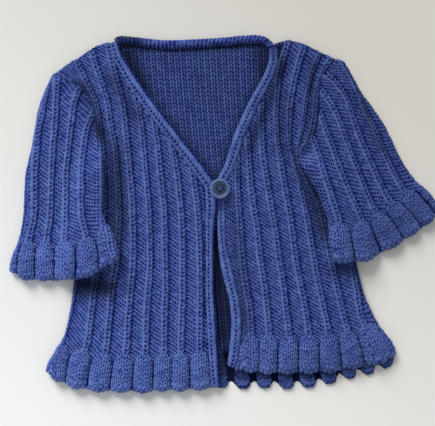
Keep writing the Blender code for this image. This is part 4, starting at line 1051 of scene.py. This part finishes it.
# Sleeves in their own flat frame, outward and down from the underarm.
# Sections are down, inner edge, first to fifth rib and outer edge.
leftSleeve = {
    "frame": (-113.4, 56.7, 0.0, -1.0),         # underarm, turn away from straight down, side
    "sections": (
        (-66.0, -14.0, -12.0, -4.0, 10.0, 38.6, 40.5, 41.5),
        (-49.5, -13.0, -11.0, -1.8, 21.2, 39.6, 46.4, 49.1),
        (-34.2, -12.0, -9.5, 5.4, 24.8, 40.2, 50.9, 54.0),
        (-18.0, -6.0, -3.5, 12.2, 26.4, 41.0, 54.9, 56.7),
        (-2.7, -4.2, -1.4, 14.9, 27.9, 42.5, 56.9, 59.4),
        (25.2, -5.4, -2.4, 16.6, 30.8, 43.4, 59.1, 65.4),
        (54.9, -4.6, -1.8, 16.2, 30.8, 44.5, 59.1, 66.7),
        (81.0, -14.8, -6.3, 10.8, 31.5, 47.9, 63.9, 71.0),
        (100.8, -18.9, -9.5, 9.0, 31.5, 49.5, 66.6, 78.3),
        (117.0, -17.6, -9.0, 9.9, 32.2, 49.5, 67.0, 80.6),
    ),
    "cuff": (
        (-20.0, 98.0), (-10.0, 102.5), (0.0, 109.0), (12.0, 113.5), (32.0, 116.5),
        (50.0, 116.8), (66.0, 116.0), (81.0, 107.5),
    ),
    "flat": (0.19, 0.165), "area": 0.0285,
}

rightSleeve = {
    "frame": (66.6, 54.9, math.radians(22.0), 1.0),
    "sections": (
        (-60.0, -16.0, 14.0, 30.0, 34.0, 44.5, 65.0, 68.4),
        (-45.0, -15.0, 15.0, 30.5, 37.5, 52.5, 66.8, 70.5),
        (-27.0, -12.0, 16.0, 30.0, 41.5, 57.0, 68.2, 72.8),
        (-9.0, -8.0, 15.5, 28.5, 43.0, 55.4, 68.7, 77.4),
        (9.0, -1.8, 14.4, 28.3, 42.0, 54.2, 69.8, 80.8),
        (27.0, 0.6, 11.4, 27.0, 41.4, 54.3, 69.4, 81.8),
        (45.0, 2.6, 10.2, 26.6, 41.4, 54.7, 70.0, 83.6),
        (63.0, 2.4, 9.0, 27.3, 41.0, 55.8, 72.0, 87.8),
        (76.5, -0.5, 7.5, 27.6, 41.8, 58.7, 75.2, 94.5),
        (90.0, -4.7, 3.2, 24.4, 44.2, 63.5, 81.4, 98.5),
        (110.0, -8.0, -1.0, 20.2, 47.7, 68.6, 87.0, 103.0),
    ),
    "cuff": (
        (-9.0, 103.0), (0.0, 107.0), (22.0, 113.0), (48.0, 111.0), (68.0, 107.5),
        (87.0, 102.0), (103.0, 95.0),
    ),
    "flat": (0.205, 0.165), "area": 0.031,
}

sleeveTube = {
    "ribNumbers": (-0.4, 0.0, 1.0, 2.0, 3.0, 4.0, 5.0),
    "repeats": 10, "longest": 200.0, "innerFold": -0.4, "outerFold": 5.0,
    "foldWidth": 5.0, "foldArc": 6.8, "foldBlend": 3.0,
    "puff": 1.5, "reach": -75.0, "sewnOver": 1.4,
    "clear": 0.6, "underRelief": 0.55,           # underside over the table, and its share of relief
    "drapeRamp": 26.0, "drapeFull": 1.5,        # it climbs the body over this, up to this far in
    "drapeFrom": 10.0, "drapeOver": 30.0,       # and does so less near the underarm
    "levelFrom": 36.0, "levelOver": 60.0,       # the rows follow the cuff up to here, then run level
    "underarmRun": ((-30.0, 22.0), (-6.0, 6.0)),
    "shoulderRun": ((9.0, 7.0), (16.0, 22.0)),
}

# Painted shade, as in the fronts
sleevePaintedShades = (
    (-136.0, 134.0, -110.0, 62.0, 11.0, 0.25), (112.0, 120.0, 150.0, 40.0, 9.0, 0.25),
    (132.0, -24.0, 170.0, 4.0, 16.0, 0.1), (62.0, 46.0, 82.0, 68.0, 7.0, 0.4),
    (-178.0, -30.0, -150.0, -50.0, 18.0, -0.08),
    (72.0, 44.0, 90.0, 0.0, 9.0, 0.18),
)


def toSleeve(form, x, y):
    baseX, baseY, turn, outward = form
    right = outward * (x - baseX)
    below = baseY - y
    return right * math.cos(turn) - below * math.sin(turn), right * math.sin(turn) + below * math.cos(turn)


def fromSleeve(form, out, down):
    baseX, baseY, turn, outward = form
    right = out * math.cos(turn) + down * math.sin(turn)
    below = down * math.cos(turn) - out * math.sin(turn)
    return baseX + outward * right, baseY - below


def armholeLine(form, side, armhole, hem):
    underarm, shoulder = armhole
    shares = 1.0 - (1.0 - np.arange(1, 16) / 15.0) ** 1.35
    heights = hem + ruffle["length"] + shares * (shoulder - hem - ruffle["length"])
    edge = [Vector((float(side(y)), y)) for y in heights.tolist()]
    while edge[1].y < underarm:
        edge.pop(0)
    edge[0] = edge[0].lerp(edge[1], (underarm - edge[0].y) / (edge[1].y - edge[0].y))
    points = []
    for index, point in enumerate(edge):
        before = edge[max(index - 1, 0)]
        after = edge[min(index + 1, len(edge) - 1)]
        along = (after - before).normalized()
        moved = point + Vector((-along.y, along.x)) * (-form[3]) * knit["edgeGap"]
        points.append(toSleeve(form, moved.x, moved.y))
    runIn = [(points[0][0] + out, points[0][1] + down) for out, down in sleeveTube["underarmRun"]]
    runOut = [(points[-1][0] + out, points[-1][1] + down) for out, down in sleeveTube["shoulderRun"]]
    return runIn + points + runOut


def makeSleeve(name, sleeve, side, armhole, hems):
    form = sleeve["frame"]
    hand = form[3]                  # 1 where the columns run to the viewer's right
    place = acrossGuides(sleeveTube["ribNumbers"], guidesOf(sleeve["sections"]))
    cuffOf = curveThrough(sleeve["cuff"])
    frontSeam, backSeam = (straightThrough(armholeLine(form, side, armhole, hem)) for hem in hems)
    innerFold, outerFold = sleeveTube["innerFold"], sleeveTube["outerFold"]
    lastFold = sleeveTube["repeats"] + innerFold
    over = evenNumbers(innerFold, outerFold, 2 * knit["samplesAcross"])
    columns = np.concatenate((over, evenNumbers(outerFold, lastFold, knit["samplesAcross"])[1:]))
    onTop = columns <= outerFold

    def outOf(number, down):
        outer = place(outerFold + 0.0 * down, down)
        inner = place(innerFold + 0.0 * down, down)
        share = (number - outerFold) / (lastFold - outerFold)
        return np.where(number <= outerFold, place(number, down), outer + share * (inner - outer))

    last = sleeve["sections"][-1][0]
    edge = cuffOf(outOf(columns, last + 0.0 * columns))
    edge = cuffOf(outOf(columns, edge))

    def inside(down):
        out = outOf(columns + 0.0 * down, down)
        return down > np.where(onTop, frontSeam(out), backSeam(out))

    top = firstCrossing(inside, edge - ruffle["length"], sleeveTube["reach"]) - sleeveTube["sewnOver"]
    length = edge - top
    distance, level, drop, rowShare = clothRows(length, np.arange(0.0, sleeveTube["longest"], rowStep))
    down = edge - distance
    numbers = columns + 0.0 * down
    outer = place(outerFold + 0.0 * down, down)
    inner = place(innerFold + 0.0 * down, down)
    out = np.clip(outOf(numbers, down), inner, outer)
    sign = np.where(out > 0.5 * (outer + inner), 1.0, -1.0)

    # Round the two folds the cloth turns over at an even pace
    toFold = np.minimum(outer - out, out - inner)
    width, arc, blend = (sleeveTube[key] for key in ("foldWidth", "foldArc", "foldBlend"))
    near = toFold * (arc + blend) / (width + blend)
    along = np.where(toFold < width + blend, near, toFold + arc - width)
    bend = np.clip(along / arc, 0.0, 1.0) * 0.5 * math.pi
    toFold = np.where(along < arc, width * (1.0 - np.cos(bend)), along - arc + width)
    out = np.where(sign > 0, outer - toFold, inner + toFold)

    puff = sleeveTube["puff"] * np.sin(math.pi * (out - inner) / (outer - inner)) ** 2
    puff = puff * smoothStep(1.0 - np.abs(2.0 * distance / length - 1.0) ** 3)
    opened = smoothStep((ruffle["length"] - distance) / ruffle["arch"])
    counted = hand * numbers        # so that the light leg is always a rib's left one
    scallop = ruffle["scallop"] * np.sin(math.pi * wrapped(counted - ruffle["shift"])) ** 2
    down = down - (scallop + castOn(counted, distance)) * opened
    x, y = fromSleeve(form, out, down)
    gauge = np.abs(outOf(numbers + 0.02, down) - outOf(numbers - 0.02, down)) / 0.04
    levelled = smoothStep((level - sleeveTube["levelFrom"]) / sleeveTube["levelOver"])
    level = level + (np.mean(edge) - edge) * levelled
    height, relief, tones = outsideCloth(counted, level, x, y, gauge)
    inset = turnedDrop(drop, height)
    half = 0.5 * (knit["wall"] + knit["frontUnder"])
    upper = half + (half + height - knit["wall"] + puff - inset) * np.sin(bend)
    lower = half - (half - sleeveTube["clear"] - inset) * np.sin(bend)
    x, y = fromSleeve(form, out - sign * np.cos(bend) * inset, down)
    ramp, full = sleeveTube["drapeRamp"], sleeveTube["drapeFull"]
    drape = smoothStep((hand * (side(y) - x) + ramp) / (ramp - full))
    drape = drape * smoothStep((armhole[0] + sleeveTube["drapeFrom"] - y) / sleeveTube["drapeOver"])
    z = np.where(onTop, upper, lower) + knit["sleeveOver"] * drape
    share = rowShare * np.where(onTop, 1.0, sleeveTube["underRelief"])
    points = layCloth(np.stack((x, y, z), axis=2), hand * relief * share, rowShare, tones, sleevePaintedShades)
    knitPiece(name, points, tones, ribYarn, ruffleRows, turned=hand < 0)


makeSleeve(
    "sleeve_left", leftSleeve, guidesOf(leftFront["side"])[0], leftFront["armhole"],
    (leftFront["hem"][0][1], back["hem"][0][1]),
)
makeSleeve(
    "sleeve_right", rightSleeve, guidesOf(rightFront["side"])[0], rightFront["armhole"],
    (rightFront["hem"][-1][1], back["hem"][0][1]),
)
print("sleeves knitted")


# Bands

# Painted shade, as in the fronts
bandPaintedShades = (
    (-104.0, 157.0, -68.0, 155.0, 8.0, 0.5), (-92.0, 134.0, -58.0, 85.0, 10.0, -0.1),
    (40.0, 150.0, 50.0, 140.0, 10.0, 0.25),
)


def braid(across, half, course):
    # One wale of V stitches seen close: two legs and the holes between them
    left = strand(across + 0.5 * half, 0.56 * half, course, -1.1, 0.3)
    right = strand(across - 0.5 * half, 0.56 * half, course, 1.1, 0.3)
    return np.maximum(left, right) - 0.6 * dots(across, 0.12 * half, course, 0.0, 0.22)


def leftBandStitches(across, course, share):
    # The wale that shows, and the first leg of the one beside the stitched-on edge
    return braid(across + 0.24, 0.72, course) + 0.75 * strand(across - 0.76, 0.26, course, 0.5, 0.2)


def rightBandStitches(across, course, share):
    return braid(across, 0.95, course)


def rollTurns(share):
    # The roll's stitches lean more towards its right end
    return smoothStep((share - 0.35) / 0.3)


def rollStitches(across, course, share):
    lean = 0.1 + 0.9 * rollTurns(share)
    return 0.9 * beads(course + lean * across) * (0.75 + 0.25 * np.cos(across * 2.0))


# How a flat band and the roll are rounded: half of the turn, how high the widest line lies,
# how far out the cloth reaches, how far the stitches spread over it, and its painted light
flatForm = (math.radians(112.0), 0.42, 1.0, 1.45, 1.08)
rollForm = (math.radians(128.0), 0.35, 0.96, 1.9, 0.78)


def makeBand(name, band, stitches, material, roll=False):
    # Counted along the band from its top end
    line = (band["before"], *band["line"], band["after"]) if roll else band["line"]
    turnRange, waist, outward, spreading, tone = rollForm if roll else flatForm
    tracks, whole = bandTracks(line)
    middle = np.linspace(0.0, whole, round(whole / band["stitch"] * bandRun["samplesUp"]) + 1)
    ends = bandRun["endRound"] * (1.0 - np.cos(np.linspace(0.0, 0.5 * math.pi, 6)[:-1]))
    middle = middle[(middle > ends[-1]) & (middle < whole - ends[-1])]
    s = np.concatenate((ends, middle, whole - ends[::-1]))[:, None]
    phi = np.linspace(-turnRange, turnRange, bandRun["samplesAcross"] + 1)[None, :]
    x, y, width, under, height = (track(s) for track in tracks)
    nearEnd = np.minimum(s, whole - s) / bandRun["endRound"]
    full = np.sqrt(np.clip(1.0 - np.clip(1.0 - nearEnd, 0.0, 1.0) ** 2, 0.0, 1.0))
    turn = bandTurn(tracks, s, whole)
    up = waist + np.where(np.cos(phi) > 0.0, 1.0 - waist, 0.95 * waist) * np.cos(phi)
    share = s / whole
    row, around = s / band["stitch"] + 0.0 * phi, phi + 0.0 * s
    course = row + 0.15 * waver(x, y, 6.0) + 0.14 * mixed(row, 1.5 * around, 6.0)
    spread = phi / spreading
    relief = stitches(spread, -course, share)
    lean = 1.0 + 0.8 * rollTurns(share) * spread if roll else 1.0
    inset = bandRun["inset"]
    reach = np.sin(phi) * outward * (0.5 * width * full - inset)
    px = x - np.sin(turn) * reach
    py = y + np.cos(turn) * reach
    pz = under + 0.5 * inset + (up * height - inset) * (0.4 + 0.6 * full)
    points = np.stack(np.broadcast_arrays(px, py, pz), axis=2)
    normals = normalsOf(points)
    flip = 1.0 if np.mean(normals[..., 2]) > 0 else -1.0
    stitch = 0.85 + 0.3 * speckle(np.floor(course), np.sign(around), 8.0)
    points = points + flip * normals * (relief * stitch * full)[..., None]
    # Painted light of the band: its level from the form, darker between the legs' stitches and towards one
    # edge, and painted shade from its table
    light = tone + 0.3 * mixed(row, 2.0 * around, 9.0)
    if not roll:
        leg = beads(-course - 1.1 * (np.abs(spread) - 0.36) / 0.4)
        light = light * (0.62 + 0.38 * leg) * (1.0 - 0.3 * smoothStep((spread - 0.35) / 0.5))
    number = 0.5 + 0.49 * np.clip(spread, -1.0, 1.0)
    shade = shadeOf(bandPaintedShades, x, y) ** knit["shadeTurn"]
    tones = np.stack(np.broadcast_arrays(light, number, lean - course, 1.0, 0.0, shade))
    knitPiece(name, points, tones, material, turned=flip < 0)


makeBand("band_left", leftBand, leftBandStitches, leftBandYarn)
makeBand("band_right", rightBand, rightBandStitches, rightBandYarn)
makeBand("band_neck", neckRoll, rollStitches, rollYarn, roll=True)
print("bands knitted")


# Button and its thread

button = {
    "middle": (-3.6, 21.6), "under": 9.9,
    "profile": (                # distance from the middle and height, from the back's middle to the front's
        (0.0, 0.0), (7.4, 0.0), (8.5, 0.4), (9.0, 1.3), (8.9, 2.2), (8.4, 2.8), (7.8, 3.0),
        (7.2, 2.85), (6.6, 2.4), (5.4, 2.1), (3.4, 2.0), (0.0, 2.0),
    ),
    "hole": 1.0, "holeSpread": 2.3, "holeTurn": math.radians(-8.0), "drill": 6.0,
    "thread": 0.42, "threadRise": 0.5, "threadTone": "4E5C98",
    "threadUnder": 1.9, "threadOver": 0.5, "threadDip": 2.4,
    # The greenish colour on the side of the window is a painted reflection
    "dish": "16243F", "paintedReflection": "263C55", "rim": "5C72A4", "centre": "343F74",
    # Where each colour starts and is full, in millimetres, and its most
    "paintedReflectionRange": (-4.0, 7.0, 1.0), "centreRange": (2.8, 1.0, 0.8), "rimRange": (4.6, 8.8, 1.0),
    "window": (-0.85, 0.1, 0.0),
    "roughness": 0.5,
}


def placed(work):
    # Into place over the bands, in metres
    away = np.array((*button["middle"], button["under"])) - tableCentre
    for vert in work.verts:
        vert.co = Vector((away + vert.co) * toMetres)


def hardPiece(name, work, material):
    placed(work)
    for face in work.faces:
        face.smooth = True
    for edge in work.edges:
        if len(edge.link_faces) == 2 and edge.calc_face_angle() > math.radians(40.0):
            edge.smooth = False
    return pieceOf(name, work, material)


def resinLook(tree):
    # Cast resin: smooth, a little smoky, paler at the rim, with a painted greenish reflection on the side of
    # the window
    place = addNode(tree, "TexCoord", output="Object")
    middle = (np.array((*button["middle"], button["under"])) - tableCentre) * toMetres
    fromMiddle = addNode(tree, "VectorMath", (place, tuple(middle)), operation="SUBTRACT")
    flat = addNode(tree, "VectorMath", (fromMiddle, (1.0, 1.0, 0.0)), operation="MULTIPLY")
    reach = addNode(tree, "VectorMath", (flat,), "Value", operation="LENGTH")
    side = addNode(tree, "VectorMath", (flat, button["window"]), "Value", operation="DOT_PRODUCT")
    tone = colour(button["dish"])
    for source, key in ((side, "paintedReflection"), (reach, "centre"), (reach, "rim")):
        start, end, most = button[key + "Range"]
        share = addNode(tree, "MapRange", (source, start * toMetres, end * toMetres, 0.0, most))
        tone = addNode(tree, "Mix", {0: share, 6: tone, 7: colour(button[key])}, 2, data_type="RGBA")
    return {"Base Color": tone, "Roughness": button["roughness"], "IOR": 1.4}


def threadLook(tree):
    # Sewing yarn: one ply of the cardigan's own, matt
    return {"Base Color": colour(button["threadTone"]), "Roughness": 0.9, "Specular IOR Level": 0.1}


def holePlaces():
    turns = [button["holeTurn"] + quarter * 0.5 * math.pi for quarter in range(4)]
    return [Vector((math.cos(turn), math.sin(turn), 0.0)) * button["holeSpread"] for turn in turns]


def makeDisc():
    work = bmesh.new()
    line = [work.verts.new((reach, 0.0, height)) for reach, height in button["profile"]]
    edges = [work.edges.new(pair) for pair in zip(line, line[1:])]
    bmesh.ops.spin(
        work, geom=line + edges, cent=(0.0, 0.0, 0.0), axis=(0.0, 0.0, 1.0),
        angle=2.0 * math.pi, steps=72, use_merge=True,
    )
    bmesh.ops.remove_doubles(work, verts=work.verts, dist=0.001)
    bmesh.ops.recalc_face_normals(work, faces=work.faces)
    disc = hardPiece("button_disc", work, makeMaterial("cast_resin_smoky_blue", resinLook))
    drill, reach = bmesh.new(), button["hole"]
    for hole in holePlaces():
        made = bmesh.ops.create_cone(
            drill, cap_ends=True, segments=28, radius1=reach, radius2=reach, depth=button["drill"],
        )
        bmesh.ops.translate(drill, verts=made["verts"], vec=hole)
    cutter = hardPiece("button_drill", drill, disc.data.materials[0])
    cut = disc.modifiers.new("holes", "BOOLEAN")
    cut.object = cutter
    cut.operation = "DIFFERENCE"
    cut.solver = "EXACT"
    graph = bpy.context.evaluated_depsgraph_get()
    drilled = bpy.data.meshes.new_from_object(disc.evaluated_get(graph))
    disc.modifiers.clear()
    disc.data = drilled
    bpy.data.objects.remove(cutter, do_unlink=True)
    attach(disc, "root")
    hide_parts("button")


def makeThread():
    # Two stitches, each from a hole to the one across the middle
    work, places, radius = bmesh.new(), holePlaces(), button["thread"]
    for number in range(2):
        start, end = places[number], places[number + 2]
        aside = (end - start).normalized().cross(Vector((0.0, 0.0, 1.0)))
        made = bmesh.ops.create_grid(work, x_segments=16, y_segments=10, size=1.0)
        for vert in made["verts"]:
            along, turn = vert.co.x, math.pi * vert.co.y
            rise = number * button["threadOver"] + button["threadRise"] * (1.0 - along ** 2)
            height = button["threadUnder"] + rise - button["threadDip"] * along ** 4
            vert.co = start.lerp(end, 0.5 + 0.5 * along) + aside * radius * math.cos(turn)
            vert.co.z = height + radius * math.sin(turn)
    bmesh.ops.remove_doubles(work, verts=work.verts, dist=0.001)
    bmesh.ops.recalc_face_normals(work, faces=work.faces)
    thread = hardPiece("button_thread", work, makeMaterial("sewing_yarn_periwinkle", threadLook))
    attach(thread, "root")


makeDisc()
makeThread()
print("button sewn on")


# Floor, light and camera

stand = {
    # Painted light falloff: the board is paler towards the light and greyer away from it
    "near": "FBFCFA", "far": "D6D2C9",          # board colour towards the light and away from it
    "nearPlace": (-0.17, -0.19), "farPlace": (0.14, 0.13),      # in metres
    "floor": 3.0,
    "sunStrength": 3.2, "sunAngle": math.radians(30.0), "sunColour": (1.0, 0.985, 0.96),
    "sunFrom": (-0.4, 0.8, 0.5), "skyStrength": 0.47, "skyColour": (0.93, 0.96, 1.0, 1.0),
}
viewer = {
    "lens": 85.0, "sensor": 36.0, "frameWidth": 391.5, "middle": (-6.65, 0.4), "level": 6.0,
}


def boardLook(tree):
    # Painted board: matt, almost white, with painted light falling off from near to far
    place = addNode(tree, "TexCoord", output="Object")
    shade = awayFromWindow(tree, place, stand["nearPlace"], stand["farPlace"])
    board = {0: shade, 6: colour(stand["near"]), 7: colour(stand["far"])}
    tone = addNode(tree, "Mix", board, 2, data_type="RGBA")
    return {"Base Color": tone, "Roughness": 0.85, "Specular IOR Level": 0.2}


def makeFloor():
    work = bmesh.new()
    bmesh.ops.create_grid(work, x_segments=1, y_segments=1, size=stand["floor"])
    pieceOf("floor", work, makeMaterial("painted_board_white", boardLook))


def makeLight():
    world = bpy.data.worlds.new("soft_room")
    bpy.context.scene.world = world
    world.use_nodes = True
    sky = world.node_tree.nodes["Background"]
    sky.inputs["Color"].default_value = stand["skyColour"]
    sky.inputs["Strength"].default_value = stand["skyStrength"]
    data = bpy.data.lights.new("window", "SUN")
    data.energy = stand["sunStrength"]
    data.angle = stand["sunAngle"]
    data.color = stand["sunColour"]
    lamp = bpy.data.objects.new("window", data)
    lamp.location = Vector(stand["sunFrom"])
    lamp.rotation_euler = lamp.location.to_track_quat("Z", "Y").to_euler()
    bpy.context.scene.collection.objects.link(lamp)


def makeCamera():
    data = bpy.data.cameras.new("camera")
    data.lens = viewer["lens"]
    data.sensor_width = viewer["sensor"]
    data.clip_start = 0.01
    camera = bpy.data.objects.new("camera", data)
    away = viewer["frameWidth"] * viewer["lens"] / viewer["sensor"] + viewer["level"]
    camera.location = Vector((*viewer["middle"], away)) * toMetres
    bpy.context.scene.collection.objects.link(camera)
    bpy.context.scene.camera = camera


makeFloor()
makeLight()
makeCamera()
bpy.context.scene.view_settings.view_transform = "Standard"
print("stage set")
